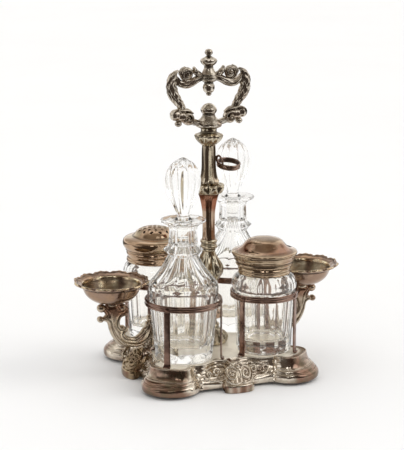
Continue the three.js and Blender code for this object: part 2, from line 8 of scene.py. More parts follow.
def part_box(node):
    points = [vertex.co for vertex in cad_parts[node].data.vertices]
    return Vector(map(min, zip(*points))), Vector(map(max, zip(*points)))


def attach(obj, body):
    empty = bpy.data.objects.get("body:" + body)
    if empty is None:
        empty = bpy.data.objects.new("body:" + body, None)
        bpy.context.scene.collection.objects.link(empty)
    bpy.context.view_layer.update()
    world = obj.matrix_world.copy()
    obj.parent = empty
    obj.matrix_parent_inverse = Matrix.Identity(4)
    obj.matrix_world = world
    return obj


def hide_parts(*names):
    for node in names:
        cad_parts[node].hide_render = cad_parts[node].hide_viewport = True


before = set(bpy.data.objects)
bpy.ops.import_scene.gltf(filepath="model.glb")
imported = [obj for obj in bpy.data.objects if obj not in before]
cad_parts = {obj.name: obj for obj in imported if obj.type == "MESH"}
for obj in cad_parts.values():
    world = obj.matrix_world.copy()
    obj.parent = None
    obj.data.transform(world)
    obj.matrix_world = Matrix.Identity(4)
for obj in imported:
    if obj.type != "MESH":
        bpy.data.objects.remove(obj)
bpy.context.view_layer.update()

TAU = 2 * math.pi
MM = 0.001

# ---------------------------------------------------------------- places taken from the frame


def mid(node):
    lo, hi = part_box(node)
    return (lo + hi) / 2 / MM, lo / MM, hi / MM


VD = mid("bottle_br")[0].x  # centre of every vessel, along X and Y
RING_Z0, RING_Z1 = mid("ring_fl")[1].z, mid("ring_fl")[2].z
R_BOTTLE = (mid("ring_fl")[2].x - mid("ring_fl")[1].x) / 2 / math.cos(math.pi / 52)
R_JAR = (mid("ring_fr")[2].x - mid("ring_fr")[1].x) / 2 / math.cos(math.pi / 52)
R_BOTTLE, R_JAR = round(R_BOTTLE, 1), round(R_JAR, 1)
SALT_X = mid("salt_dish_right")[0].x
TOP_Z = mid("handle")[2].z
PLATE_Z = 22.6
SIDE, LOBE_C, LOBE_R, CUSP = 68.6, 54.0, 25.0, 2.4

# ---------------------------------------------------------------- mesh building


def catmull(pts, step, closed=False):
    p = np.asarray(pts, float)
    if closed:
        q = np.vstack([p[-1], p, p[0], p[1]])
        n = len(p)
    else:
        q = np.vstack([2 * p[0] - p[1], p, 2 * p[-1] - p[-2]])
        n = len(p) - 1
    out = []
    for i in range(n):
        a, b, c, d = q[i], q[i + 1], q[i + 2], q[i + 3]
        k = max(1, int(math.ceil(np.linalg.norm(c - b) / step)))
        t0 = 0.0
        t1 = t0 + max(np.linalg.norm(b - a), 1e-6) ** 0.5
        t2 = t1 + max(np.linalg.norm(c - b), 1e-6) ** 0.5
        t3 = t2 + max(np.linalg.norm(d - c), 1e-6) ** 0.5
        for j in range(k):
            t = t1 + (t2 - t1) * j / k
            a1 = (t1 - t) / (t1 - t0) * a + (t - t0) / (t1 - t0) * b
            a2 = (t2 - t) / (t2 - t1) * b + (t - t1) / (t2 - t1) * c
            a3 = (t3 - t) / (t3 - t2) * c + (t - t2) / (t3 - t2) * d
            b1 = (t2 - t) / (t2 - t0) * a1 + (t - t0) / (t2 - t0) * a2
            b2 = (t3 - t) / (t3 - t1) * a2 + (t - t1) / (t3 - t1) * a3
            out.append((t2 - t) / (t2 - t1) * b1 + (t - t1) / (t2 - t1) * b2)
    if not closed:
        out.append(p[-1])
    return np.array(out)


def prof(pts, step=0.6):
    """Dense profile from [r, z] points; a third entry marks a hard corner."""
    runs, cur = [], [pts[0][:2]]
    for p in pts[1:]:
        cur.append(p[:2])
        if len(p) > 2:
            runs.append(cur)
            cur = [p[:2]]
    if len(cur) > 1:
        runs.append(cur)
    out = [np.array(runs[0][0], float)]
    for run in runs:
        out += list(catmull(run, step)[1:])
    out = np.array(out)
    out[:, 0] = np.maximum(out[:, 0], 0)
    return out


def signed(V, F):
    v = 0.0
    for f in F:
        f = np.asarray(f)
        a = V[f[:, 0]]
        for k in range(1, f.shape[1] - 1):
            v += np.einsum("ij,ij->i", a, np.cross(V[f[:, k]], V[f[:, k + 1]])).sum()
    return v


def oriented(V, F):
    F = [np.asarray(f) for f in F if len(f)]
    if signed(V - V.mean(0), F) < 0:
        F = [f[:, ::-1] for f in F]
    return V, F


def skin(rows, loop=False, closed=True):
    """Closed skin over rows of points; a row of one point is a pole."""
    start, n = [], 0
    for r in rows:
        start.append(n)
        n += len(r)
    V = np.vstack(rows)
    quads, tris = [], []
    last = len(rows) if loop else len(rows) - 1
    for j in range(last):
        k = (j + 1) % len(rows)
        a, b = len(rows[j]), len(rows[k])
        m = max(a, b)
        i = np.arange(m)
        i2 = (i + 1) % m
        if a == 1:
            tris.append(np.stack([np.full(m, start[j]), start[k] + i, start[k] + i2], 1))
        elif b == 1:
            tris.append(np.stack([start[j] + i, np.full(m, start[k]), start[j] + i2], 1))
        else:
            quads.append(np.stack([start[j] + i, start[k] + i, start[k] + i2, start[j] + i2], 1))
    F = []
    if quads:
        F.append(np.vstack(quads))
    if tris:
        F.append(np.vstack(tris))
    return oriented(V, F)


def turned(P, seg, mod=None, loop=False, c=(0, 0), z=0.0, phase=0.0):
    a = np.arange(seg) / seg * TAU + phase
    rows = []
    for r, h in np.asarray(P, float):
        if r < 1e-6:
            rows.append(np.array([[c[0], c[1], h + z]]))
            continue
        rr, hh = np.full(seg, r), np.full(seg, h)
        if mod:
            rr, hh = mod(a, rr, hh)
        rows.append(np.stack([c[0] + rr * np.cos(a), c[1] + rr * np.sin(a), hh + z], 1))
    return skin(rows, loop)


def sweep(path, ra, rb, up=(0, 1, 0), sides=20, power=2.0, mod=None, cap=True, loop=False):
    """Swept form round a path in a plane whose normal is up. ra lies in the plane, rb along up."""
    p = np.asarray(path, float)
    n = len(p)
    ra = np.interp(np.linspace(0, 1, n), np.linspace(0, 1, np.size(ra)), np.atleast_1d(ra)) if np.size(ra) > 1 else np.full(n, float(ra))
    rb = np.interp(np.linspace(0, 1, n), np.linspace(0, 1, np.size(rb)), np.atleast_1d(rb)) if np.size(rb) > 1 else np.full(n, float(rb))
    if loop:
        t = np.roll(p, -1, 0) - np.roll(p, 1, 0)
    else:
        t = np.gradient(p, axis=0)
    t /= np.linalg.norm(t, axis=1)[:, None]
    up = np.asarray(up, float)
    b = up - (t @ up)[:, None] * t
    b /= np.linalg.norm(b, axis=1)[:, None]
    s = np.cross(b, t)
    th = np.arange(sides) / sides * TAU
    cx = np.sign(np.cos(th)) * np.abs(np.cos(th)) ** (2 / power)
    cy = np.sign(np.sin(th)) * np.abs(np.sin(th)) ** (2 / power)
    rows = []

    def ring(i, shift, k):
        m = mod(th, i / (n - 1)) if mod else 1.0
        return p[i] + t[i] * shift + s[i] * (ra[i] * k * cx * m)[:, None] + b[i] * (rb[i] * k * cy * m)[:, None]

    if cap and not loop:
        e = min(ra[0], rb[0])
        rows.append((p[0] - t[0] * e)[None])
        for f in (75, 55, 35, 18):
            rows.append(ring(0, -e * math.sin(math.radians(f)), math.cos(math.radians(f))))
    for i in range(n):
        rows.append(ring(i, 0, 1))
    if cap and not loop:
        e = min(ra[-1], rb[-1])
        for f in (18, 35, 55, 75):
            rows.append(ring(n - 1, e * math.sin(math.radians(f)), math.cos(math.radians(f))))
        rows.append((p[-1] + t[-1] * e)[None])
    return skin(rows, loop)


def blob(rx, ry, rz, x, y, z, seg=36, rings=20, mod=None):
    rows = [np.array([[x, y, z - rz]])]
    a = np.arange(seg) / seg * TAU
    for j in range(1, rings):
        f = -math.pi / 2 + math.pi * j / rings
        m = mod(a, f) if mod else 1.0
        rows.append(np.stack([x + rx * math.cos(f) * np.cos(a) * m, y + ry * math.cos(f) * np.sin(a) * m, z + rz * math.sin(f) + 0 * a], 1))
    rows.append(np.array([[x, y, z + rz]]))
    return skin(rows)


def to3(pts2, y=0.0):
    p = np.asarray(pts2, float)
    return np.stack([p[:, 0], np.full(len(p), y), p[:, 1]], 1)


def spiral(cx, cz, r0, r1, a0, turns, n=60, y=0.0):
    t = np.linspace(0, 1, n)
    r = r0 + (r1 - r0) * t ** 0.8
    a = math.radians(a0) + turns * TAU * t
    return np.stack([cx + r * np.cos(a), np.full(n, y), cz + r * np.sin(a)], 1)


def mirror(vf, axis=0):
    V, F = vf
    V = V.copy()
    V[:, axis] *= -1
    return oriented(V, F)


def turn(vf, deg, c=(0, 0)):
    V, F = vf
    a = math.radians(deg)
    W = V.copy()
    x, y = V[:, 0], V[:, 1]
    W[:, 0] = x * math.cos(a) - y * math.sin(a) + c[0]
    W[:, 1] = x * math.sin(a) + y * math.cos(a) + c[1]
    return W, F


def shift(vf, x=0, y=0, z=0):
    return vf[0] + np.array([x, y, z]), vf[1]


class Piece:
    def __init__(self):
        self.V, self.Q, self.T, self.tone, self.n = [], [], [], [], 0

    def add(self, vf, tone=0.5):
        V, F = vf
        for f in F:
            (self.Q if f.shape[1] == 4 else self.T).append(f + self.n)
        self.V.append(V)
        t = tone(V) if callable(tone) else np.full(len(V), float(tone))
        self.tone.append(np.clip(t, 0, 1))
        self.n += len(V)
        return self


def make(name, piece, material, body, nodes, slot, angle=34, reach=1.6):
    V = np.vstack(piece.V) * MM
    faces = []
    for f in piece.Q + piece.T:
        faces += f.tolist()
    me = bpy.data.meshes.new(name)
    me.from_pydata(V.tolist(), [], faces)
    me.validate()
    me.shade_smooth()
    me.set_sharp_from_angle(angle=math.radians(angle))
    me.update()
    n = len(me.vertices)
    if n == len(V):
        a = me.attributes.new("tone", "FLOAT", "POINT")
        a.data.foreach_set("value", np.concatenate(piece.tone).astype(np.float32))
    # how far each point stands out of its smoothed surroundings, for wear on edges and grime in hollows
    e = np.zeros(len(me.edges) * 2, np.int64)
    me.edges.foreach_get("vertices", e)
    e = e.reshape(-1, 2)
    co = np.zeros(n * 3)
    me.vertices.foreach_get("co", co)
    co = co.reshape(-1, 3) / MM
    no = np.zeros(n * 3)
    me.vertices.foreach_get("normal", no)
    no = no.reshape(-1, 3)
    h = np.linalg.norm(co[e[:, 0]] - co[e[:, 1]], axis=1).mean()
    k = int(min(60, max(4, (reach / h) ** 2 * 2)))
    deg = np.bincount(e.ravel(), minlength=n).astype(float)
    deg[deg == 0] = 1
    s = co.copy()
    for _ in range(k):
        acc = np.empty_like(s)
        for d in range(3):
            acc[:, d] = np.bincount(e[:, 0], weights=s[e[:, 1], d], minlength=n) + np.bincount(e[:, 1], weights=s[e[:, 0], d], minlength=n)
        s += 0.7 * (acc / deg[:, None] - s)
    cv = np.einsum("ij,ij->i", co - s, no) / reach
    a = me.attributes.new("cv", "FLOAT", "POINT")
    a.data.foreach_set("value", np.clip(0.5 + cv * 1.6, 0, 1).astype(np.float32))
    ob = bpy.data.objects.new(name, me)
    bpy.context.scene.collection.objects.link(ob)
    me.materials.append(material)
    if slot == "crystal":
        ob.visible_shadow = False
    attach(ob, body)
    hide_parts(*nodes)
    return ob


# ---------------------------------------------------------------- materials


def graph(name):
    m = bpy.data.materials.new(name)
    m.use_nodes = True
    nt = m.node_tree
    nt.nodes.clear()
    out = nt.nodes.new("ShaderNodeOutputMaterial")
    bsdf = nt.nodes.new("ShaderNodeBsdfPrincipled")
    nt.links.new(bsdf.outputs[0], out.inputs[0])
    return m, nt, bsdf


def put(nt, socket, value):
    if isinstance(value, bpy.types.NodeSocket):
        nt.links.new(value, socket)
    else:
        socket.default_value = value


def noise(nt, vec, scale, detail=4.0, rough=0.55, distortion=0.0):
    n = nt.nodes.new("ShaderNodeTexNoise")
    put(nt, n.inputs["Vector"], vec)
    n.inputs["Scale"].default_value = scale
    n.inputs["Detail"].default_value = detail
    n.inputs["Roughness"].default_value = rough
    n.inputs["Distortion"].default_value = distortion
    return n.outputs["Fac"]


def ramp(nt, value, lo, hi, to_lo=0.0, to_hi=1.0):
    n = nt.nodes.new("ShaderNodeMapRange")
    n.interpolation_type = "SMOOTHSTEP"
    put(nt, n.inputs["Value"], value)
    n.inputs["From Min"].default_value = lo
    n.inputs["From Max"].default_value = hi
    n.inputs["To Min"].default_value = to_lo
    n.inputs["To Max"].default_value = to_hi
    return n.outputs["Result"]


def calc(nt, op, a, b=0.0, clamp=True):
    n = nt.nodes.new("ShaderNodeMath")
    n.operation = op
    n.use_clamp = clamp
    put(nt, n.inputs[0], a)
    put(nt, n.inputs[1], b)
    return n.outputs[0]


def mix(nt, f, a, b):
    n = nt.nodes.new("ShaderNodeMix")
    n.data_type = "RGBA"
    put(nt, n.inputs["Factor"], f)
    put(nt, n.inputs[6], (*a, 1) if isinstance(a, tuple) else a)
    put(nt, n.inputs[7], (*b, 1) if isinstance(b, tuple) else b)
    return n.outputs[2]


def attribute(nt, name):
    n = nt.nodes.new("ShaderNodeAttribute")
    n.attribute_name = name
    return n.outputs["Fac"]


def coords(nt, stretch=(1, 1, 1)):
    t = nt.nodes.new("ShaderNodeTexCoord")
    m = nt.nodes.new("ShaderNodeMapping")
    nt.links.new(t.outputs["Object"], m.inputs["Vector"])
    m.inputs["Scale"].default_value = stretch
    return m.outputs[0]


def plate(name, bright, under, grime, dirt=0.85, copper=0.5, tarnish=0.5, rough=0.22, streak=(1, 1, 1), edge=0.6, third=None, bump=0.25, flat=None, deep=None, vary=None):
    """Worn plated metal: bright skin, base metal where it is rubbed through, tarnish patches, grime in hollows."""
    m, nt, b = graph(name)
    v, vs = coords(nt), coords(nt, streak)
    cv, tone = attribute(nt, "cv"), attribute(nt, "tone")
    n1 = noise(nt, vs, 42, 6, 0.6, 0.4)
    n2 = noise(nt, v, 120, 5, 0.6, 0.8)
    n3 = noise(nt, vs, 420, 4, 0.6)
    # base metal: rubbed edges, broken up by noise, and wherever tone says so
    edges = ramp(nt, cv, 0.53, 0.70)
    patch = ramp(nt, calc(nt, "ADD", calc(nt, "MULTIPLY", n1, 0.6), calc(nt, "MULTIPLY", n2, 0.4)), 0.60 - 0.22 * copper, 0.70 - 0.16 * copper)
    rub = calc(nt, "MULTIPLY", edges, calc(nt, "ADD", calc(nt, "MULTIPLY", n2, 1.2), edge - 0.6))
    toned = ramp(nt, calc(nt, "ADD", tone, calc(nt, "MULTIPLY", calc(nt, "SUBTRACT", n1, 0.5, False), 0.9, False), False), 0.48, 0.95)
    show = calc(nt, "MAXIMUM", calc(nt, "MULTIPLY", patch, copper), calc(nt, "MAXIMUM", calc(nt, "MULTIPLY", rub, edge), toned))
    if vary:
        under = mix(nt, ramp(nt, noise(nt, v, 95, 4, 0.6, 1.0), 0.44, 0.60), under, vary)
    colour = mix(nt, show, bright, under)
    if flat:
        colour = mix(nt, calc(nt, "MULTIPLY", ramp(nt, tone, 0.86, 1.0), 0.72), colour, grime)
    if third:
        gold = calc(nt, "MULTIPLY", ramp(nt, noise(nt, v, 33, 3, 0.5, 1.0), 0.5, 0.62), ramp(nt, tone, 0.9, 0.5, 0.25, 1.0))
        colour = mix(nt, calc(nt, "MULTIPLY", gold, 0.75), colour, third)
    stain = ramp(nt, noise(nt, vs, 70, 7, 0.65, 0.6), 0.44, 0.68)
    colour = mix(nt, calc(nt, "MULTIPLY", stain, tarnish), colour, grime)
    hollow = ramp(nt, cv, 0.49, 0.36)
    colour = mix(nt, calc(nt, "MULTIPLY", hollow, dirt), colour, deep or tuple(c * 0.45 for c in grime))
    speck = ramp(nt, n3, 0.60, 0.74)
    colour = mix(nt, calc(nt, "MULTIPLY", speck, 0.35), colour, grime)
    if flat:  # the flat top of the plate: a duller, rougher finish, and painted light: a paler cream colour for the light it catches from above
        z = nt.nodes.new("ShaderNodeSeparateXYZ")
        put(nt, z.inputs[0], coords(nt))
        level = calc(nt, "MULTIPLY", ramp(nt, z.outputs[2], flat - 0.0003, flat - 0.0001), ramp(nt, z.outputs[2], flat + 0.00015, flat + 0.00004))
        level = calc(nt, "MULTIPLY", level, ramp(nt, tone, 0.50, 0.20))
        colour = mix(nt, calc(nt, "MULTIPLY", level, 0.74), colour, (0.96, 0.89, 0.75))
    put(nt, b.inputs["Base Color"], colour)
    b.inputs["Metallic"].default_value = 1.0
    if flat:
        put(nt, b.inputs["Metallic"], calc(nt, "SUBTRACT", 1.0, calc(nt, "MULTIPLY", level, 0.68)))
    r = calc(nt, "ADD", ramp(nt, n1, 0.3, 0.7, rough - 0.07, rough + 0.09), calc(nt, "MULTIPLY", stain, 0.10))
    r = calc(nt, "ADD", r, calc(nt, "MULTIPLY", hollow, 0.22))
    r = calc(nt, "ADD", r, calc(nt, "MULTIPLY", speck, 0.10))
    if flat:
        r = calc(nt, "ADD", r, calc(nt, "MULTIPLY", level, 0.22))
    put(nt, b.inputs["Roughness"], r)
    bp = nt.nodes.new("ShaderNodeBump")
    bp.inputs["Strength"].default_value = bump
    bp.inputs["Distance"].default_value = 0.0005
    height = calc(nt, "ADD", calc(nt, "MULTIPLY", noise(nt, v, 260, 3, 0.5), 0.7), calc(nt, "MULTIPLY", noise(nt, vs, 1500, 3, 0.6), 0.12), False)
    put(nt, bp.inputs["Height"], height)
    nt.links.new(bp.outputs[0], b.inputs["Normal"])
    return m


SILVER = plate("silver_plate", (0.84, 0.76, 0.64), (0.30, 0.18, 0.13), (0.15, 0.095, 0.065), dirt=0.7, copper=0.45, tarnish=0.38, rough=0.13, edge=0.3, flat=0.0226, deep=(0.42, 0.31, 0.20), vary=(0.21, 0.165, 0.11))
SIDE_PLATE = plate("side_foot_plate", (0.44, 0.345, 0.225), (0.24, 0.13, 0.085), (0.12, 0.08, 0.05), dirt=0.7, copper=0.6, tarnish=0.55, rough=0.14, edge=0.3, deep=(0.12, 0.07, 0.035), vary=(0.24, 0.17, 0.09))
TOP = plate("handle_plate", (0.64, 0.58, 0.49), (0.40, 0.24, 0.15), (0.11, 0.08, 0.055), dirt=0.7, copper=0.5, tarnish=0.55, rough=0.15, edge=0.25)
PILLAR = plate("pillar_plate", (0.60, 0.53, 0.40), (0.36, 0.20, 0.12), (0.12, 0.085, 0.055), dirt=0.7, copper=0.5, tarnish=0.6, rough=0.15, streak=(1, 1, 0.12), edge=0.3)
WORN = plate("worn_plate", (0.46, 0.34, 0.25), (0.32, 0.125, 0.07), (0.10, 0.05, 0.035), dirt=0.7, copper=0.6, tarnish=0.5, rough=0.16, streak=(1, 1, 0.12), edge=0.3)
ARM = plate("arm_plate", (0.56, 0.48, 0.37), (0.31, 0.175, 0.115), (0.12, 0.08, 0.055), dirt=0.6, copper=0.55, tarnish=0.45, rough=0.14, edge=0.2)
DARK = plate("dark_plate", (0.32, 0.215, 0.17), (0.19, 0.095, 0.065), (0.06, 0.036, 0.032), dirt=0.7, copper=0.6, tarnish=0.6, rough=0.14, edge=0.2)
LID = plate("lid_plate", (0.54, 0.42, 0.29), (0.32, 0.185, 0.13), (0.12, 0.075, 0.05), dirt=0.7, copper=0.5, tarnish=0.4, rough=0.08, edge=0.35, third=(0.52, 0.41, 0.27), bump=0.08, vary=(0.34, 0.185, 0.11))
GOLDEN = plate("golden_lid_plate", (0.50, 0.355, 0.24), (0.33, 0.195, 0.13), (0.13, 0.085, 0.055), dirt=0.7, copper=0.45, tarnish=0.35, rough=0.09, edge=0.3, third=(0.58, 0.49, 0.34), bump=0.08, vary=(0.40, 0.24, 0.13))
DISH = plate("dish_plate", (0.33, 0.225, 0.165), (0.92, 0.80, 0.56), (0.09, 0.06, 0.046), dirt=0.7, copper=0.15, tarnish=0.5, rough=0.09, edge=0.0, third=(0.40, 0.26, 0.165), bump=0.2, vary=(0.66, 0.49, 0.30))
STEEL = plate("steel", (0.55, 0.54, 0.52), (0.40, 0.33, 0.26), (0.16, 0.12, 0.09), copper=0.3, tarnish=0.5, rough=0.34, edge=0.2)


def crystal(name="crystal", rim=0.0):
    m, nt, b = graph(name)
    v = coords(nt)
    z = nt.nodes.new("ShaderNodeSeparateXYZ")
    put(nt, z.inputs[0], v)
    clear = mix(nt, ramp(nt, noise(nt, v, 30, 3), 0.35, 0.7), (1.0, 0.998, 0.99), (0.985, 0.98, 0.965))
    clear = mix(nt, ramp(nt, z.outputs[2], 0.094, 0.080), clear, (1.0, 0.99, 0.965))
    if rim:  # painted shade: thick cut facets are painted a darker grey where they turn away from the view
        lw = nt.nodes.new("ShaderNodeLayerWeight")
        lw.inputs["Blend"].default_value = 0.5
        clear = mix(nt, calc(nt, "MULTIPLY", ramp(nt, lw.outputs["Facing"], 0.45, 0.95), rim), clear, (0.30, 0.29, 0.28))
    put(nt, b.inputs["Base Color"], clear)
    b.inputs["Transmission Weight"].default_value = 1.0
    b.inputs["IOR"].default_value = 1.5
    body = ramp(nt, z.outputs[2], 0.092, 0.082, 0.0, 0.085)
    put(nt, b.inputs["Roughness"], calc(nt, "ADD", ramp(nt, noise(nt, v, 190, 5, 0.6), 0.5, 0.8, 0.0, 0.05), body))
    bp = nt.nodes.new("ShaderNodeBump")
    bp.inputs["Strength"].default_value = 0.06
    bp.inputs["Distance"].default_value = 0.0006
    put(nt, bp.inputs["Height"], noise(nt, v, 75, 3, 0.5))
    nt.links.new(bp.outputs[0], b.inputs["Normal"])
    return m


CRYSTAL = crystal()
CUT = crystal("cut_crystal", 0.62)

# ---------------------------------------------------------------- base plate


def ease(t):
    c = np.clip(t, 0, 1)
    return c * c * (3 - 2 * c)


def spread(a):
    """How much broader the sloping rim is at angle a: at the middle of each side and round the lobes."""
    q = (a + math.pi / 4) % (math.pi / 2) - math.pi / 4
    side = np.where(np.abs(np.cos(a)) > np.abs(np.sin(a)), 0.38, 0.88)
    return 0.72 + side * ease((32 - np.abs(np.tan(q)) * SIDE) / 15) + 0.73 * ease(1 - (math.pi / 4 - np.abs(q)) / 0.25)


def outline(a, d):
    q = (a + math.pi / 4) % (math.pi / 2) - math.pi / 4
    d = d * spread(a)
    s = SIDE - d + 1.1 * np.cos(math.pi * np.tan(q) * SIDE / 33)
    r = s / np.cos(q)
    p = math.pi / 4 - np.abs(q)
    c, rho = LOBE_C * math.sqrt(2), LOBE_R - d
    t = c * np.sin(p)
    lobe = c * np.cos(p) + np.sqrt(np.maximum(rho * rho - t * t, 0))
    return np.where(t < rho, np.maximum(r, lobe), r)


def clasp(a, z):
    """The small leafy brackets over the cusps between sides and lobes."""
    q = (a + math.pi / 4) % (math.pi / 2) - math.pi / 4
    w = (np.abs(q) - math.radians(27.4)) / math.radians(1.9)
    tall = 0.72 + 0.28 * np.cos((z - 6) * 0.42)
    return 0.6 * CUSP * (0.95 * np.exp(-((np.abs(w) - 0.8) / 0.5) ** 2) * tall + 0.55 * np.exp(-(w / 0.45) ** 2) * (0.5 + 0.5 * np.cos(z * 0.9)))


RIM = prof([
    (10.0, 22.6), (9.75, 22.7), (9.4, 22.92), (9.0, 22.85), (8.7, 22.4), (8.6, 21.8, 1),
    (8.45, 20.8), (8.1, 19.0), (7.55, 17.0), (6.8, 15.2), (5.9, 13.9), (5.5, 13.6, 1), (5.2, 13.65), (4.95, 13.35), (4.9, 12.8, 1),
    (4.1, 12.5), (3.2, 11.8), (2.6, 10.9), (2.45, 10.2, 1), (2.1, 10.25), (1.75, 9.95), (1.65, 9.5, 1), (1.3, 9.2), (0.7, 8.5), (0.2, 7.3), (0.0, 5.9), (0.05, 4.4),
    (0.3, 3.1), (0.8, 2.3, 1), (2.0, 2.2, 1)], 0.4)

NA = 1440
ANG = np.arange(NA) / NA * TAU


def rim_row(d, z, detail=True):
    r = outline(ANG, d)
    if detail:
        k = np.clip((9.0 - d) / 9.0, 0, 1)
        r = r + clasp(ANG, z) * k * (1 if z > 2.5 else 0.6)
        if 14.0 < z < 21.6:
            q = (ANG + math.pi / 4) % (math.pi / 2) - math.pi / 4
            r = r + 0.42 * (np.abs(math.sin(math.pi * (z - 14.0) / 2.53)) ** 0.7 - 0.35) * ease((math.radians(27) - np.abs(q)) / 0.05)
    return np.stack([r * np.cos(ANG), r * np.sin(ANG), np.full(NA, z)], 1)


def base():
    rows = [rim_row(d, z) for d, z in RIM[::-1]]
    edge = rows[-1]
    for k in np.linspace(0, 1, 26)[1:]:
        r = np.hypot(edge[:, 0], edge[:, 1]) * (1 - k) + 2.4 * k  # flat top of the plate
        z = PLATE_Z + 0.0 * r
        rows.append(np.stack([r * np.cos(ANG), r * np.sin(ANG), z], 1))
    rows.append(np.stack([2.4 * np.cos(ANG), 2.4 * np.sin(ANG), np.full(NA, 21.0)], 1))
    for d, z in [(40.0, 21.0), (10.4, 21.0), (7.8, 14.6), (3.2, 8.0)]:
        if d > 30:
            r = outline(ANG, 10.4) * 0.5
            rows.append(np.stack([r * np.cos(ANG), r * np.sin(ANG), np.full(NA, z)], 1))
        else:
            rows.append(rim_row(d, z, False))
    p = Piece()

    def tone(V):
        a = np.arctan2(V[:, 1], V[:, 0])
        q = (a + math.pi / 4) % (math.pi / 2) - math.pi / 4
        lobe = ease((np.abs(q) - math.radians(27.5)) / 0.12)
        z = V[:, 2]
        cove = ease((z - 13.4) / 1.2) * ease((22.2 - z) / 0.8)
        t = 0.16 + cove * (0.04 + 0.06 * lobe) + 0.60 * lobe
        t += ease((7.6 - z) / 3.0) * (0.50 - 0.45 * lobe) + 0.14 * lobe * ease((12.8 - z) / 0.6)
        r = np.hypot(V[:, 0], V[:, 1])
        top = (np.abs(z - PLATE_Z) < 0.03) & (r < outline(a, 10.3))
        return np.where(top, 0.12 + 0.5 * ease((r - outline(a, 13.0)) / 3.0), t)

    p.add(skin(rows, True), tone)
    return p


def rim_point(u, z, out=0.0, side=-90):
    """A point on the outer face of the rim, u along a side and at height z."""
    zs = RIM[RIM[:, 1] > 2.3]
    order = np.argsort(zs[:, 1])
    d = np.interp(z, zs[order, 1], zs[order, 0])
    q = np.arctan2(u, SIDE)
    for _ in range(4):
        r = outline(q, d)
        q = np.arcsin(np.clip(u / r, -1, 1))
    r = outline(q, d) + out
    a = math.radians(side) + q
    return np.stack([r * np.cos(a), r * np.sin(a), z], -1)


def drape(points2, r, out=0.1, side=-90, sides=10):
    """A tapering bead laid over the rim along a path in (u, z)."""
    p2 = np.asarray(points2, float)
    path = rim_point(p2[:, 0], p2[:, 1], out, side)
    a = math.radians(side)
    return sweep(path, r, np.asarray(r) * 0.85, up=(math.cos(a), math.sin(a), 0), sides=sides)


def curl(cu, cz, r0, r1, a0, turns, n=36):
    t = np.linspace(0, 1, n)
    r = r0 + (r1 - r0) * t
    a = math.radians(a0) + turns * TAU * t
    return np.stack([cu + r * np.cos(a), cz + r * np.sin(a)], 1)


b = base()
for side in (-90, 0, 90, 180):
    worn = 0.52 if side in (0, 180) else 0.0
    for s in (1, -1):
        m = np.array([s, 1.0])
        b.add(drape(curl(16.4, 14.6, 3.5, 0.8, 200, -1.4, 44) * m, [0.7, 1.25, 1.1, 0.8], 0.45, side, 12), 0.2 + worn)
        b.add(drape(curl(23.6, 13.6, 2.7, 0.7, 190, -1.3, 40) * m, [0.5, 1.0, 0.9, 0.7], 0.4, side, 12), 0.2 + worn)
        b.add(drape(catmull([(9.5, 8.6), (13, 7.6), (18, 9.4), (23, 9.2), (28.5, 12.2), (31.0, 16.6)], 0.8) * m, [0.6, 1.25, 1.1, 0.8, 0.4], 0.4, side, 12), 0.25 + worn)
        b.add(drape(catmull([(18.6, 18.2), (21.2, 19.4), (25.0, 17.8), (28.2, 19.0)], 0.7) * m, [0.4, 0.95, 0.7, 0.35], 0.3, side, 12), 0.25 + worn)
        b.add(drape(catmull([(10.8, 19.6), (12.6, 20.6), (15.4, 19.8)], 0.6) * m, [0.4, 0.9, 0.5], 0.3, side, 12), 0.25 + worn)
for side in (-90, 0, 90, 180):
    for s in (1, -1):
        zz = np.linspace(4.5, 21.0, 42)
        order = np.argsort(RIM[RIM[:, 1] > 2.3][:, 1])
        src = RIM[RIM[:, 1] > 2.3][order]
        dd = np.interp(zz, src[:, 1], src[:, 0]) * 0.72
        qq = math.pi / 4 - np.arcsin((LOBE_R - dd) / (LOBE_C * math.sqrt(2)))
        rr = (SIDE - dd - 0.6) / np.cos(qq) + 0.9
        aa = math.radians(side) + s * qq
        path = np.stack([rr * np.cos(aa), rr * np.sin(aa), zz], 1)
        am = math.radians(side) + s * math.radians(28.5)
        k = np.arange(42) / 41
        b.add(sweep(path, 1.9 + 0.8 * np.cos(k * TAU * 3.5) - 0.7 * k, 0.95 + 0.35 * np.cos(k * TAU * 3.5 + 0.6), up=(math.cos(am), math.sin(am), 0), sides=20, mod=lambda th, t: 1 + 0.12 * np.cos(4 * th)), 0.12)
        for j in (6, 17, 29):
            o = path[j] + np.array([math.cos(am), math.sin(am), 0]) * 0.9
            b.add(blob(0.85, 0.85, 0.95, o[0], o[1], o[2], 16, 10), 0.05)
# leaves spreading from the foot of each salt arm over the plate and the rim
for s in (1, -1):
    for dy, x1, z1 in ((5.5, 66.6, 17.2), (-5.5, 66.6, 17.2), (11.0, 64.6, 17.0), (-11.0, 64.6, 17.0), (15.5, 60.6, 21.0), (-15.5, 60.6, 21.0)):
        path = catmull([(53.0, dy * 0.12, 23.0), (56.0, dy * 0.40, 24.2), (59.6, dy * 0.78, 23.9), (62.6 if abs(dy) < 15 else 59.0, dy * 0.95, 21.6 if abs(dy) < 15 else 23.2), (x1, dy, z1)], 0.6)
        path[:, 0] *= s
        b.add(sweep(path, [0.9, 1.8, 2.3, 2.1, 1.4, 0.6], [0.7, 1.1, 1.2, 1.1, 0.8, 0.5], up=(0, 0, 1), sides=20, mod=lambda th, t: 1 + 0.12 * np.cos(5 * th)), 0.72)
make("base_plate", b, SILVER, "stand", ["base_plate"], "silver_plate")

# ---------------------------------------------------------------- shell feet


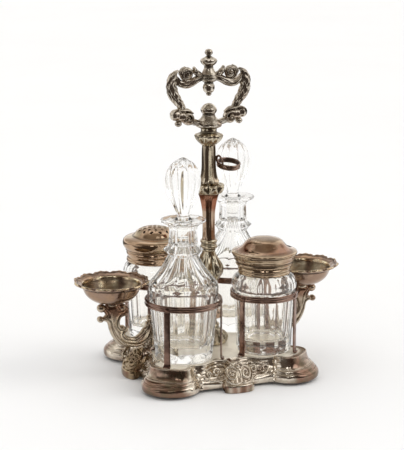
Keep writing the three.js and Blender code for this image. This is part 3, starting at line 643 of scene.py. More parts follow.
def foot(inner):
    p = Piece()
    front = prof([(inner, 23.4), (inner + 1.2, 24.4), (63.2, 24.4), (65.8, 22.9), (68.2, 19.8), (70.8, 16.0), (74.4, 11.2), (77.0, 7.9), (77.7, 7.0, 1), (78.5, 6.9), (79.1, 6.3), (79.35, 5.0), (79.4, 2.6), (79.2, 0.8), (78.9, 0.0)], 0.5)
    back = prof([(73.4, 0.0), (71.4, 2.0), (67.6, 4.6), (inner + 3.0, 11.0), (inner - 0.6, 19.0), (inner - 0.8, 22.6), (inner, 23.4)], 1.0)
    NU = 121
    u = np.linspace(-1, 1, NU)
    RIBS = 6

    def width(z):
        return np.interp(z, [0, 5, 8, 12, 16, 20, 24.5], [13.2, 13.3, 12.6, 11.6, 9.6, 7.0, 3.4])

    rows = []
    for x, z in front:
        w = width(z)
        fan = ease((z - 6.9) / 1.2) * ease((13.5 - z) / 4)
        rib = 0.5 * fan * (np.abs(np.cos(RIBS * math.pi * u / 2)) - 0.5)
        drop = (2.6 if z < 19 else 2.6 * max(0, 24.5 - z) / 5.5) * u * u + (2.8 * u ** 6 if z < 7.2 else 0)
        rows.append(np.stack([x - drop + rib, u * w, np.full(NU, z)], 1))
    for x, z in back[1:-1]:
        w = width(z) * 0.985
        rows.append(np.stack([np.full(NU, x) - 2.4 * u * u * (1 if z < 14 else 0.5), u * w, np.full(NU, z)], 1))
    R, V = len(rows), np.vstack(rows)
    q = []
    for j in range(R):
        k = (j + 1) % R
        i = np.arange(NU - 1)
        q.append(np.stack([j * NU + i, k * NU + i, k * NU + i + 1, j * NU + i + 1], 1))
    # close the two flanks with fans round a middle point
    cl, cr = V[[j * NU for j in range(R)]].mean(0), V[[j * NU + NU - 1 for j in range(R)]].mean(0)
    V = np.vstack([V, cl, cr])
    t = []
    for j in range(R):
        k = (j + 1) % R
        t.append([j * NU, len(V) - 2, k * NU])
        t.append([j * NU + NU - 1, k * NU + NU - 1, len(V) - 1])

    def tone(V):
        y = V[:, 1]
        pad = ease((6.6 - V[:, 2]) / 0.6)
        stripes = 0.5 + 0.5 * np.sin(y * 0.62 + 0.8) * np.cos(y * 0.23)
        return 0.14 + pad * (0.44 + 0.46 * stripes)

    p.add(oriented(V, [np.vstack(q), np.array(t)]), tone)

    def lay(pts, r, lift=0.0):
        """A bead on the face of the shell along a path in (y, z)."""
        pts = np.asarray(pts, float)
        z = pts[:, 1]
        order = np.argsort(front[:, 1])
        x = np.interp(z, front[order, 1], front[order, 0]) - 2.6 * (pts[:, 0] / np.maximum(width(z), 8)) ** 2 + 0.4 + lift
        path = np.stack([x, pts[:, 0], z], 1)
        return sweep(path, r, r, up=(1, 0, 0), sides=14)

    for s in (1, -1):
        m = np.array([s, 1.0])
        p.add(lay(curl(5.9, 14.9, 5.2, 0.9, 130, -1.6, 90) * m, [0.8, 1.5, 1.45, 1.25, 1.0], 0.2), 0.06)
        p.add(lay(catmull([(4.3, 20.6), (2.4, 22.4), (0.2, 23.0)], 0.5) * m, [1.3, 1.2, 1.0]), 0.15)
        p.add(lay(catmull([(0.6, 8.6), (4.2, 7.9), (8.0, 8.6), (11.4, 10.6), (12.4, 13.6)], 0.5) * m, [0.8, 1.1, 1.2, 1.1, 0.6], 0.3), 0.2)
        p.add(lay(catmull([(0.9, 12.2), (1.7, 14.2), (1.2, 16.4), (0.4, 18.0)], 0.5) * m, [0.5, 0.9, 0.9, 0.5]), 0.3)
        p.add(blob(1.5, 1.4, 1.4, 72.8, 5.9 * s, 14.9, 18, 10), 0.1)
    p.add(blob(1.5, 1.7, 2.2, 68.6, 0, 20.2, 18, 10), 0.2)
    return p


for side, deg, inner in (("right", 0, 58.8), ("back", 90, 55.4), ("left", 180, 58.8), ("front", -90, 55.4)):
    f = foot(inner)
    f.V = [turn((v, None), deg)[0] for v in f.V]
    make("foot_" + side, f, SIDE_PLATE if side in ("left", "right") else SILVER, "stand", ["foot_" + side], "silver_plate")

# ---------------------------------------------------------------- ring holders and uprights
STATIONS = {"fl": (-1, -1, 225, R_BOTTLE), "fr": (1, -1, 315, R_JAR), "bl": (-1, 1, 135, R_JAR), "br": (1, 1, 45, R_BOTTLE)}
for key, (sx, sy, diag, R) in STATIONS.items():
    c = (sx * VD, sy * VD)
    z0, z1 = RING_Z0, RING_Z1
    h = z1 - z0
    band = prof([
        (R - 1.6, z0 + 0.3), (R - 1.3, z0, 1), (R - 0.8, z0), (R - 0.2, z0 + 0.07 * h), (R, z0 + 0.2 * h), (R - 0.15, z0 + 0.34 * h), (R - 0.55, z0 + 0.42 * h, 1),
        (R - 0.5, z0 + 0.5 * h), (R - 0.55, z0 + 0.58 * h, 1), (R - 0.15, z0 + 0.66 * h), (R, z0 + 0.8 * h), (R - 0.2, z0 + 0.93 * h), (R - 0.8, z1),
        (R - 1.3, z1, 1), (R - 1.6, z1 - 0.3, 1), (R - 1.6, z0 + 0.3, 1)], 0.35)[:-1]
    ring = Piece().add(turned(band, 160, loop=True, c=c), lambda V: 0.35 + 0.25 * np.clip((V[:, 2] - 73.2) / 2, -1, 1))
    for k in (0, 108, -108):
        a = math.radians(diag + k)
        ring.add(turn(blob(0.75, 2.3, 2.1, R - 0.35, 0, (z0 + z1) / 2, 24, 12), diag + k, c), 0.75)
    make("ring_" + key, ring, DARK, "stand", ["ring_" + key], "dark_plate")
    r0 = R - 0.8
    for i, k in enumerate((0, 108, -108)):
        path = catmull([(r0 + 1.9, 0, 23.6), (r0 + 1.2, 0, 23.65), (r0 + 0.35, 0, 24.3), (r0 + 0.05, 0, 25.6), (r0, 0, 28.0), (r0, 0, 40), (r0, 0, 55), (r0, 0, RING_Z0 - 0.4)], 0.7)
        n = len(path)
        zz = path[:, 2]
        wide = 2.75 + 0.55 * np.exp(-((zz - 23.6) / 1.5) ** 2) + 0.25 * np.exp(-((zz - RING_Z0) / 1.6) ** 2)
        strip = sweep(path, np.full(n, 0.72), wide, up=(0, 1, 0), sides=24, power=4.5)
        up = Piece().add(turn(strip, diag + k, c), lambda V: 0.62 - 0.25 * np.clip((V[:, 2] - 45) / 30, -1, 1))
        make(f"upright_{key}_{i + 1}", up, DARK, "stand", [f"upright_{key}_{i + 1}"], "dark_plate")

# ---------------------------------------------------------------- pillar
BORE = 2.4


def pillar(name, points, material, slot, n=0, amp=0.0, z0=0, z1=0, style="lobe", tip=0.0, tone=0.4, seg=192):
    P = prof(points, 0.5)
    lo, hi = P[0, 1], P[-1, 1]

    def mod(a, r, z):
        if n and r[0] > BORE + 0.1:
            f = np.sin(math.pi * np.clip((z - z0) / (z1 - z0), 0, 1))
            if style == "lobe":  # rounded leaves with sharp creases between them
                g = 1 - np.abs(np.cos(n * a / 2)) ** 0.7
                r = r * (1 - amp * f * g)
                z = z + tip * f * (np.abs(np.cos(n * a / 2)) - 0.5)
            elif style == "flute":  # hollow flutes with sharp arrises
                r = r * (1 - amp * np.maximum(f, 0.55) * np.abs(np.sin(n * a / 2)))
            elif style == "leaf":  # leaves with a raised mid-rib
                x = np.abs(((a * n / TAU) % 1) - 0.5) * 2
                g = 0.75 * x ** 2 - 0.35 * np.exp(-(x / 0.13) ** 2)
                r = r * (1 - amp * f * g)
                z = z - tip * f * x ** 2
        return r, z

    closed = np.vstack([P, [[BORE, hi]], [[BORE, lo]]])
    pc = Piece().add(turned(closed, seg, mod, loop=True), tone)
    return pc


def pillar_piece(name, *args, **kw):
    material, slot = args[1], args[2]
    make(name, pillar(name, *args, **kw), material, "stand", [name], slot)


pillar_piece("pillar_foot", [(15.4, 22.9), (16.2, 23.7), (16.4, 25.4), (15.8, 29.2), (14.0, 31.9), (11.6, 34.0), (9.4, 36.0), (8.8, 37.2, 1), (9.4, 38.0), (9.2, 39.2), (8.4, 39.9, 1), (7.2, 41.0), (6.9, 42.4), (6.9, 44.7)], PILLAR, "silver_plate", n=10, amp=0.17, z0=22.8, z1=37.2, style="leaf", tip=0.4)
pillar_piece("pillar_stem", [(9.6, 45), (11.2, 45.7), (12.6, 47.0), (12.8, 48.6), (12.4, 50.4, 1), (10.0, 51.6), (7.2, 53.8), (5.8, 57.0), (5.3, 60), (5.3, 68), (5.9, 72.0), (7.4, 75.2), (8.4, 77, 1), (8.9, 77.8), (8.8, 79.0), (8.6, 79.7)], WORN, "worn_plate", n=8, amp=0.05, z0=52, z1=78, style="flute", tone=0.5)
pillar_piece("pillar_bell", [(8.8, 80), (10.0, 81.6), (11.6, 84.4), (12.2, 87.2), (12.1, 89.6), (11.4, 92.4), (10.2, 94.8), (8.8, 97.2), (7.6, 99.4), (6.4, 102.0), (5.5, 104.8)], PILLAR, "silver_plate", n=8, amp=0.19, z0=80, z1=103, style="leaf", tip=1.4, tone=0.45)
pillar_piece("pillar_band", [(5.6, 105.1), (6.0, 106.2), (6.0, 107.2, 1), (7.0, 107.8), (7.4, 108.8), (7.1, 109.9), (6.4, 110.4, 1), (6.8, 111.0), (6.4, 111.6, 1), (7.1, 112.5), (7.4, 113.8), (7.0, 114.6, 1), (6.2, 115.2)], PILLAR, "silver_plate", tone=0.62)
pillar_piece("pillar_shaft_lower", [(6.1, 115.5), (5.8, 119.0), (5.7, 127), (5.9, 139), (6.5, 143.5), (7.2, 147.5), (8.2, 151.8), (9.1, 154.4), (9.6, 155.5)], WORN, "worn_plate", n=8, amp=0.09, z0=100, z1=172, style="flute", tone=lambda V: 0.35 + 0.55 * np.clip((V[:, 2] - 136) / 8, 0, 1))
pillar_piece("pillar_knop", [(9.8, 155.8), (11.4, 156.4), (12.8, 157.8), (13.8, 159.6), (14.1, 161.4), (13.4, 162.8), (11.6, 163.8), (9.6, 164.2), (8.6, 164.7), (7.8, 165.2)], PILLAR, "silver_plate", n=8, amp=0.24, z0=156.6, z1=165.6, style="lobe", tip=1.0, tone=0.35)
pillar_piece("pillar_shaft_upper", [(10.0, 165.5), (9.0, 167.2), (7.8, 170.2), (7.0, 174.5), (6.6, 180), (6.5, 187), (6.4, 193), (6.2, 197.4)], PILLAR, "silver_plate", n=8, amp=0.20, z0=140, z1=210, style="flute", tone=0.66)
pillar_piece("pillar_capital", [(5.8, 197.7), (7.2, 198.9), (9.2, 200.9), (10.8, 203.2), (11.7, 205.2), (11.9, 206.4), (11.4, 207.4, 1), (9.6, 207.9), (7.4, 208.8), (6.8, 209.8), (6.8, 211.2), (7.0, 212.2)], PILLAR, "silver_plate", n=8, amp=0.15, z0=197.6, z1=208.6, style="leaf", tip=0.9, tone=0.35)

# ---------------------------------------------------------------- handle
hp = Piece()


def fl(n, amp, z0, z1, power=1.0):
    def mod(a, r, z):
        f = np.sin(math.pi * np.clip((z - z0) / (z1 - z0), 0, 1))
        return r * (1 - amp * f * np.abs(np.sin(n * a / 2)) ** power), z
    return mod


hp.add(turned(prof([(0, 212.5), (7, 212.5, 1), (8.6, 213.0), (11.4, 214.4), (12.2, 215.8), (11.6, 217.0), (9.6, 218.6, 1), (9.0, 219.4), (6.8, 221.4), (5.6, 223.2), (5.1, 224.8, 1), (6.0, 225.6), (6.9, 227.4), (6.8, 229.0), (5.6, 231.0), (3.6, 232.9), (1.6, 233.7), (0, 233.9)], 0.4), 128, fl(8, 0.16, 212, 219)), 0.5)
hp.add(turned(prof([(0, 240), (1.5, 240.3), (2.3, 241.4), (2.2, 242.6, 1), (3.4, 243.2), (4.8, 244.8), (5.4, 246.8), (5.2, 248.8), (4.2, 250.6), (3.9, 251.6, 1), (5.0, 252.2), (6.8, 253.4), (7.8, 255.2), (7.6, 256.6, 1), (6.6, 257.6), (6.9, 258.6), (6.0, 259.8, 1), (5.0, 261.6), (4.0, 264.0), (3.8, 265.8, 1), (4.8, 266.4), (6.4, 268.0), (7.2, 270.0), (6.7, 271.4, 1), (5.0, 272.4), (3.0, 273.4), (1.9, 274.2), (1.9, 274.8, 1), (3.0, 275.6), (3.4, 276.8), (3.1, 278.4), (2.1, 279.5), (0, TOP_Z)], 0.4), 128, fl(8, 0.13, 242.6, 251.6)), 0.35)


def both(vf, tone=0.3):
    hp.add(vf, tone)
    hp.add(mirror(vf), tone)


vein = lambda k, m, amp: (lambda th, t: 1 + amp * np.sin(k * th + m * t) + 0.5 * amp * np.sin(2 * k * th - 0.6 * m * t))
# upper cross arms with their volutes
both(sweep(to3(catmull([(4, 256.6), (10, 254.9), (16, 251.9), (21.5, 250.6), (26.5, 252.2), (29.6, 256)], 0.4)), [2.6, 3.0, 3.3, 3.3, 3.0, 2.4], [3.2, 3.5, 3.8, 3.8, 3.4, 2.6], sides=40, mod=vein(6, 6, 0.06)), 0.3)
both(sweep(spiral(19.2, 259.8, 6.3, 1.4, -105, 1.25, 80), [1.5, 1.9, 1.7, 1.3, 0.9], [2.6, 4.2, 4.4, 4.4, 4.6], sides=24), 0.3)
both(sweep(to3([(19.2, 259.6), (19.21, 259.6)]), 1.2, 1.2), 0.2)
both(blob(1.9, 5.0, 1.9, 19.2, 0, 259.6, 24, 12), 0.2)
both(blob(5.0, 3.2, 4.8, 19.4, 0, 259.0, 36, 20), 0.3)
both(sweep(to3(catmull([(6.5, 257.2), (9.4, 258.8), (12.0, 261.4), (13.2, 264.2)], 0.3)), [2.4, 2.7, 2.4, 1.4], [2.8, 3.4, 3.2, 2.0], sides=28, mod=vein(5, 8, 0.07)), 0.4)
both(sweep(to3(catmull([(24.2, 257.6), (25.6, 260.6), (24.0, 263.8), (21.6, 265.4)], 0.3)), [1.2, 1.5, 1.2, 0.7], [2.6, 3.0, 2.4, 1.6], sides=20), 0.3)
# S shaped sides, veined like leaves
both(sweep(to3(catmull([(28.0, 262.4), (30.4, 260.6), (32.9, 256.4), (33.4, 249.6), (31.6, 242.8), (28.0, 236.8), (24.8, 231.8), (22.8, 226.8)], 0.3)), [1.0, 2.9, 4.0, 4.4, 4.3, 4.1, 3.7, 3.2, 2.6], [1.4, 3.2, 4.0, 4.3, 4.2, 4.0, 3.7, 3.2, 2.6], sides=56, mod=vein(5, 34, 0.075)), 0.3)
both(sweep(to3(catmull([(37.3, 250.4), (36.4, 243.6), (33.2, 237.8), (30.2, 234.2)], 0.4)), [0.5, 1.0, 1.1, 0.6], [0.8, 1.7, 1.8, 1.0], sides=16), 0.3)
# lower cross arms and rolled scrolls
both(sweep(to3(catmull([(26, 221.6), (20, 220.2), (14, 218.4), (9, 217.2), (5, 217.8)], 0.4)), [2.3, 2.8, 2.8, 2.6, 2.2], [3.0, 3.6, 3.8, 3.8, 3.4], sides=36, mod=vein(6, 5, 0.06)), 0.4)
both(sweep(spiral(19.4, 220.8, 5.6, 1.5, 60, 1.3, 80), [1.5, 1.6, 1.5, 1.2, 0.9], [4.2, 4.4, 4.5, 4.6, 4.8], sides=24), 0.3)
both(blob(2.1, 5.2, 2.1, 19.4, 0, 220.8, 24, 12), 0.5)
both(blob(7.4, 4.2, 4.6, 24.6, 0, 223.6, 44, 24, mod=lambda a, f: 1 + 0.04 * np.cos(10 * a)), 0.35)
both(blob(4.9, 4.6, 4.9, 30.0, 0, 225.0, 40, 24, mod=lambda a, f: 1 + 0.05 * np.cos(9 * a)), 0.25)
both(sweep(spiral(29.8, 225.0, 4.7, 3.4, 190, -0.7, 50), [0.7, 1.1, 1.0, 0.7], [2.0, 4.2, 4.2, 3.0], sides=18), 0.2)
both(blob(3.0, 3.2, 2.7, 27.6, 0, 217.6, 28, 16), 0.4)
both(sweep(to3(catmull([(14.6, 226.0), (18.6, 228.6), (24.4, 229.4), (28.6, 229.6)], 0.4)), [0.8, 1.5, 1.5, 0.8], [2.4, 3.8, 3.8, 2.4], sides=20), 0.3)
make("handle", hp, TOP, "stand", ["handle"], "silver_plate")

# ---------------------------------------------------------------- small ring on its bracket
LX, LZ, LR = 18.3, 179.9, 10.35
rp = Piece()
band = prof([
    (LR - 1.5, -2.0), (LR - 1.2, -2.3, 1), (LR - 0.5, -2.25), (LR, -1.6), (LR - 0.1, -1.0), (LR - 0.5, -0.75, 1), (LR - 0.35, 0), (LR - 0.5, 0.75, 1),
    (LR - 0.1, 1.0), (LR, 1.6), (LR - 0.5, 2.25), (LR - 1.2, 2.3, 1), (LR - 1.5, 2.0, 1), (LR - 1.5, -2.0, 1)], 0.25)[:-1]
V, F = turned(band, 120, loop=True)
ax, ay = math.radians(13), math.radians(2)
V = np.stack([V[:, 0], V[:, 1] * math.cos(ax) - V[:, 2] * math.sin(ax), V[:, 1] * math.sin(ax) + V[:, 2] * math.cos(ax)], 1)
V = np.stack([V[:, 0] * math.cos(ay) + V[:, 2] * math.sin(ay), V[:, 1], -V[:, 0] * math.sin(ay) + V[:, 2] * math.cos(ay)], 1)
rp.add((V + np.array([LX, 0, LZ]), F), 0.3)
rp.add(sweep(catmull([(7.2, 0, 184.6), (7.3, -1, 187), (8, -2.6, 188.4), (9.2, -4.6, 187), (10.2, -5.8, 183.6), (10.6, -6.1, 180)], 0.3), 0.9, 0.9, up=(0.88, -0.47, 0), sides=14), 0.3)
rp.add(sweep(catmull([(7.4, 0, 186), (7.5, 0, 183.4), (8.6, -0.2, 180.8), (9, -0.2, 179.6)], 0.3), 0.85, 0.85, sides=14), 0.3)
rp.add(blob(1.0, 1.8, 2.1, 7.15, 0, 186, 20, 12), 0.3)
make("stopper_ring", rp, DARK, "stand", ["stopper_ring"], "dark_plate")

# ---------------------------------------------------------------- salts and their arms
ARM_PTS = [(82.4, 66.2), (93.6, 66.2), (95.4, 63.8), (97.2, 63.4), (99.2, 65.2), (100.8, 64.6), (100, 61.8), (96.4, 59.4), (94.8, 56.6), (96.8, 54.8), (100.4, 54.2), (100.8, 52.6), (97.4, 51.4), (93.4, 49.8), (91.8, 44), (89.6, 38), (85.3, 31.4), (80.6, 27.6), (75.8, 25.9), (70, 25.2), (64.5, 25.3), (58.4, 27.8), (53, 32.2), (50.2, 38), (50.4, 45), (52, 50.8), (54.4, 52.6), (56.8, 50.8), (56.2, 48), (58.8, 46), (59.2, 43), (61.6, 40.6), (64.6, 37), (68.4, 34.6), (73, 35.2), (77, 38.2), (74.6, 41), (74.8, 43.8), (79.8, 44.4), (81.6, 48), (80.2, 52.8), (76, 54.2), (73.7, 57.6), (74.2, 61.8), (77.2, 63.9), (80.4, 63.6)]


def inside(pts, poly):
    x, y = pts[:, 0], pts[:, 1]
    c = np.zeros(len(pts), bool)
    a, bq = poly, np.roll(poly, -1, 0)
    for (x1, y1), (x2, y2) in zip(a, bq):
        if y1 == y2:
            continue
        hit = ((y1 > y) != (y2 > y)) & (x < (x2 - x1) * (y - y1) / (y2 - y1) + x1)
        c ^= hit
    return c


def edge_distance(pts, poly):
    best = np.full(len(pts), 1e9)
    a, bq = poly, np.roll(poly, -1, 0)
    for p, q in zip(a, bq):
        d = q - p
        t = np.clip(((pts - p) @ d) / max(d @ d, 1e-12), 0, 1)
        best = np.minimum(best, np.linalg.norm(pts - (p + t[:, None] * d), axis=1))
    return best


def relief(poly, height, step=0.7):
    """A form with a flat outline, swelling to both sides by height(distance from the outline, points)."""
    x0, y0 = poly.min(0)
    x1, y1 = poly.max(0)
    gx, gy = np.meshgrid(np.arange(x0, x1, step), np.arange(y0, y1, step * 0.87))
    gx[1::2] += step / 2
    g = np.stack([gx.ravel(), gy.ravel()], 1)
    g = g[inside(g, poly)]
    g = g[edge_distance(g, poly) > 0.42 * step]
    nb = len(poly)
    allp = np.vstack([poly, g])
    res = delaunay_2d_cdt([Vector(p) for p in allp], [(i, (i + 1) % nb) for i in range(nb)], [], 0, 1e-5)
    pts = np.array([(v.x, v.y) for v in res[0]])
    tri = np.array([t for t in res[2] if len(t) == 3])
    tri = tri[inside(pts[tri].mean(1), poly)]
    d = edge_distance(pts, poly)
    on = d < 1e-4
    hh = np.where(on, 0, height(d, pts))
    n = len(pts)
    front = np.stack([pts[:, 0], -hh, pts[:, 1]], 1)
    backi = np.where(on, np.arange(n), n + np.arange(n))
    back = np.stack([pts[:, 0], hh, pts[:, 1]], 1)
    V = np.vstack([front, back])
    T = np.vstack([tri, backi[tri][:, ::-1]])
    used = np.unique(T)
    remap = -np.ones(len(V), int)
    remap[used] = np.arange(len(used))
    return oriented(V[used], [remap[T]])


arm_poly = catmull(ARM_PTS, 0.6, closed=True)


def arm_height(d, pts):
    s = np.clip(d / 2.8, 0, 1)
    h = 3.3 * np.sqrt(np.maximum(1 - (1 - s) ** 2, 0))
    crease = np.exp(-((d - 2.9) / 0.55) ** 2)
    return np.maximum(h - 0.8 * crease + 0.35 * np.clip((d - 3.4) / 2.0, 0, 1), 0.12)


arm_vf = relief(arm_poly, arm_height, 0.55)
for s, name in ((1, "right"), (-1, "left")):
    ap = Piece()
    q = arm_vf if s == 1 else turn(arm_vf, 180)
    ap.add(q, lambda V: 0.26 + 0.62 * np.clip((V[:, 2] - 44) / 16, 0, 1) + 0.35 * np.clip((34 - V[:, 2]) / 8, 0, 1) * np.clip((78 - np.abs(V[:, 0])) / 10, 0, 1))
    ap.add(turned(prof([(0, 22.9), (4.4, 22.9, 1), (4.4, 24.0), (3.5, 24.9, 1), (3.1, 26.2), (3.0, 32.0), (0, 33.0)], 0.5), 64, c=(54.8 * s, 0)), 0.4)
    ap.add(turned(prof([(0, 63.4), (3.4, 63.4), (5.2, 64.4), (5.4, 65.4), (5.2, 66.3, 1), (0, 66.3)], 0.4), 64, c=((SALT_X - 0.6) * s, 0)), 0.4)
    for x, z, r in ((98.0, 62.7, 3.9), (99.0, 52.9, 2.9), (79.3, 61.6, 3.6), (79.4, 43.6, 2.4), (54.2, 49.8, 3.5)):
        ap.add(blob(r, 4.2, r * 0.95, x * s, 0, z, 28, 16), 0.62)
    # side leaves clasping the scroll
    for dy in (1, -1):
        for pts, rr in (
            ([(59, 3.0, 28.6), (68, 4.2, 27.6), (77, 4.2, 29.4), (84.4, 3.8, 35.6), (88.6, 3.2, 44)], [0.4, 1.1, 1.2, 1.0, 0.4]),
            ([(87.0, 2.6, 44), (89.0, 3.6, 52), (90.4, 3.8, 58.6), (94.0, 3.0, 62.0)], [0.4, 1.2, 1.1, 0.5]),
        ):
            path = catmull([(x * s, y * dy, z) for x, y, z in pts], 0.5)
            ap.add(sweep(path, rr, np.array(rr) * 0.8, up=(0, 1, 0), sides=12), lambda V: 0.22 + 0.55 * np.clip((V[:, 2] - 44) / 16, 0, 1))
    make("salt_arm_" + name, ap, ARM, "stand", ["salt_arm_" + name], "silver_plate", angle=50)

    PET, R = 12, 32.6

    def petal(a, r, z):
        f = np.clip((r - 24) / (R - 24), 0, 1)
        c = np.abs(np.cos(PET * a / 2))
        fine = np.abs(np.sin(PET * 1.5 * a))
        r2 = r * (1 - 0.066 * f * (1 - c) - 0.012 * f ** 4 * fine)
        z2 = z - 0.8 * f * (1 - c) + 0.25 * f ** 4 * np.cos(PET * 3 * a) + 0.22 * np.sin(math.pi * f) * (np.abs(np.cos(PET * a)) - 0.6)
        return r2, z2

    lower = [(0, 66.7), (6, 66.7), (6.4, 67.4), (10.5, 67.8), (15.6, 69.4), (19.6, 72.0), (22.6, 75.4), (24.4, 79.2), (25.6, 82.2), (27.6, 83.2), (30.4, 84.0), (32.4, 85.1)]
    dish = prof([(0, 66.7), (6, 66.7, 1)] + lower[2:8] + [(25.6, 82.2, 1)] + lower[9:] + [
        (32.8, 86.0), (32.2, 86.9), (31.0, 86.6), (30.2, 85.9, 1), (28.4, 85.5), (26.6, 84.8, 1), (25.0, 83.6), (23.9, 80.6), (22.0, 77.0), (19.2, 73.6), (15.0, 70.8), (10.2, 69.2), (5.4, 68.3), (0, 68)], 0.5)

    def dish_tone(V, s=s):
        r = np.hypot(V[:, 0] - SALT_X * s, V[:, 1])
        under = np.interp(r, [q[0] for q in lower], [q[1] for q in lower])
        inner = V[:, 2] > under + 0.5
        a = np.arctan2(V[:, 1], V[:, 0] - SALT_X * s)
        # gilt bowl with painted reflection: angular brown streaks standing in for the streaky reflections in its polish
        gilt_and_painted_streaks = 0.80 + 0.24 * np.sin(9 * a) * np.sin(4 * a + 1.0)
        flange = 0.20 + 0.62 * ease((r - 30.6) / 1.0)
        return np.where(inner & (r < 25.3), gilt_and_painted_streaks, np.where(inner, flange, 0.12 + 0.3 * ease((V[:, 2] - 83) / 3)))

    dp = Piece().add(turned(dish, PET * 24, petal, c=(SALT_X * s, 0)), dish_tone)
    make("salt_dish_" + name, dp, DISH, "stand", ["salt_dish_" + name], "gilt_plate")

# ---------------------------------------------------------------- bottles and stoppers


def flat(n, a, phase=0.0):
    """1 at the corners and cos(pi/n) in the middle of each side of a regular polygon."""
    w = TAU / n
    x = (a + phase) % w - w / 2
    return math.cos(w / 2) / np.cos(x)


def bottle(c):
    p = prof([
        (0, 24.0), (17, 24.0, 1), (20, 23.1), (22.4, 23.0), (23.6, 23.5), (24.2, 24.7), (24.6, 27.0, 1), (25.4, 32.6), (27.4, 53), (29.3, 75), (29.9, 83.0), (30.1, 86.2, 1), (29.5, 88.6, 1),
        (26.0, 92.4), (22.2, 97.0), (18.0, 103.2), (14.6, 109.2), (12.8, 112.4, 1), (14.6, 115.0), (17.0, 117.2, 1), (14.6, 119.6), (12.4, 122.2, 1), (12.0, 129), (12.0, 136.2), (13.4, 138.4), (16.0, 140.2), (18.6, 141.4),
        (19.3, 142.0), (19.4, 142.6), (18.8, 143.3, 1), (7, 142.3, 1), (6, 141.4, 1), (6, 118), (6.6, 113), (9, 108), (15.4, 98.6), (22.4, 90.2), (24.6, 86.0), (25.0, 82), (23.4, 60), (21.4, 41), (20.4, 38.2), (18.4, 36.9), (14, 36.5), (0, 36.4)], 0.9)
    zmax = np.argmax(p[:, 1])

    state = {"j": -1}

    def mod(a, r, z):
        state["j"] += 1
        j = state["j"]
        if j >= zmax or z[0] < 26.9:
            return r, z
        zz = z[0]
        if zz <= 88.7:
            f = np.clip((zz - 26.9) / 5, 0, 1)
            arch = 1 - 0.6 * np.clip((zz - 84.6) / 4, 0, 1)
            return r * (1 - 0.052 * f * arch * np.abs(np.sin(6 * a))), z
        if zz <= 112.6:
            f = np.clip((zz - 88.7) / 3, 0, 1)
            k = 0.021 + 0.055 * f
            return r * (1 - k * np.abs(np.sin(6 * a))), z
        if zz <= 139.6:
            k = flat(8, a, math.pi / 8)
            if 112.6 < zz < 122.2:
                peak = 1 - abs(zz - 117.2) / 5
                return r * k, z + 1.1 * peak * (k - 0.96) * 12
            return r * k, z
        f = np.clip((zz - 139.6) / 3, 0, 1)
        return r * (flat(8, a, math.pi / 8) * (1 - f) + f * (1 - 0.012 * np.abs(np.sin(4 * a)))), z

    # p[:,0]==0 rows are poles and don't reach mod, so they are counted here
    state["j"] = 0
    return turned(p, 240, mod, c=c)


def stopper(c):
    p = prof([
        (0, 127.6), (4.4, 127.7), (4.9, 128.4, 1), (5.4, 142.4, 1), (6.9, 142.8), (7.3, 143.4), (6.8, 144.0, 1), (5.3, 145.4), (5.4, 147.6), (6.8, 151.2), (9.0, 156.0), (11.2, 160.6), (13.2, 165.4), (14.6, 170.4),
        (15.4, 175.4), (15.2, 179.4), (14.0, 183.6), (11.6, 187.8), (8.4, 191.2), (5.0, 193.7), (2.2, 195.2), (0.9, 195.7), (0, 195.8)], 0.8)

    def mod(a, r, z):
        if z[0] < 145.6:
            return r, z
        f = np.sin(math.pi * np.clip((z - 145.4) / 50.6, 0, 1)) ** 0.6
        return r * (1 - 0.155 * f * np.abs(np.sin(5 * a))), z

    return turned(p, 240, mod, c=c)


for key, body, sx, sy in (("fl", "front_left", -1, -1), ("br", "back_right", 1, 1)):
    c = (sx * VD, sy * VD)
    make("bottle_" + key, Piece().add(bottle(c)), CRYSTAL, "bottle_" + body, ["bottle_" + key], "crystal", angle=22)
    make("stopper_" + key, Piece().add(stopper(c)), CUT, "stopper_" + body, ["stopper_" + key], "crystal", angle=22)

# ---------------------------------------------------------------- jars, collars and lids


def jar(c):
    p = prof([
        (0, 24.0), (15, 24.0, 1), (18, 23.1), (21.6, 23.0), (23.0, 23.5), (23.6, 24.7), (23.8, 27.4, 1), (24.3, 40), (25.2, 58), (26.5, 73.4, 1), (26.7, 75.6), (26.2, 76.6, 1), (27.0, 77.6), (27.8, 79.8), (28.0, 82.2), (27.8, 84.6),
        (26.6, 87.2), (24.4, 89.3), (22.0, 90.5), (20.6, 90.9, 1), (20.6, 97, 1), (18.6, 97, 1), (18.2, 92.6), (20.4, 89.6), (22.6, 87.0), (23.7, 83.0), (23.5, 76), (22.6, 58), (21.4, 40), (20.6, 36.4), (18.8, 34.4), (15, 33.7), (0, 33.6)], 0.9)
    zmax = int(np.argmax(p[:, 1]))
    state = {"j": 0}

    def mod(a, r, z):
        state["j"] += 1
        zz = z[0]
        if state["j"] >= zmax + 1 or r[0] < 22:
            return r, z
        if 27.4 <= zz <= 76.4:
            f = min(1, (zz - 27.2) / 3) * min(1, max(0, (77.4 - zz) / 1.4))
            return r * (1 - 0.036 * f * np.abs(np.sin(6 * a))), z
        if 22.9 < zz < 27.3:
            return r * (1 - 0.02 * np.abs(np.sin(6 * a)) ** 2), z
        if 76.4 < zz < 90:
            return r * (1 - 0.010 * np.abs(np.sin(12 * a)) * math.sin(math.pi * (zz - 76.4) / 13.6)), z
        return r, z

    return turned(p, 240, mod, c=c)


FRC, BLC = (VD, -VD), (-VD, VD)
make("jar_fr", Piece().add(jar(FRC)), CRYSTAL, "mustard_jar", ["jar_fr"], "crystal", angle=22)
make("jar_bl", Piece().add(jar(BLC)), CRYSTAL, "caster_jar", ["jar_bl"], "crystal", angle=22)

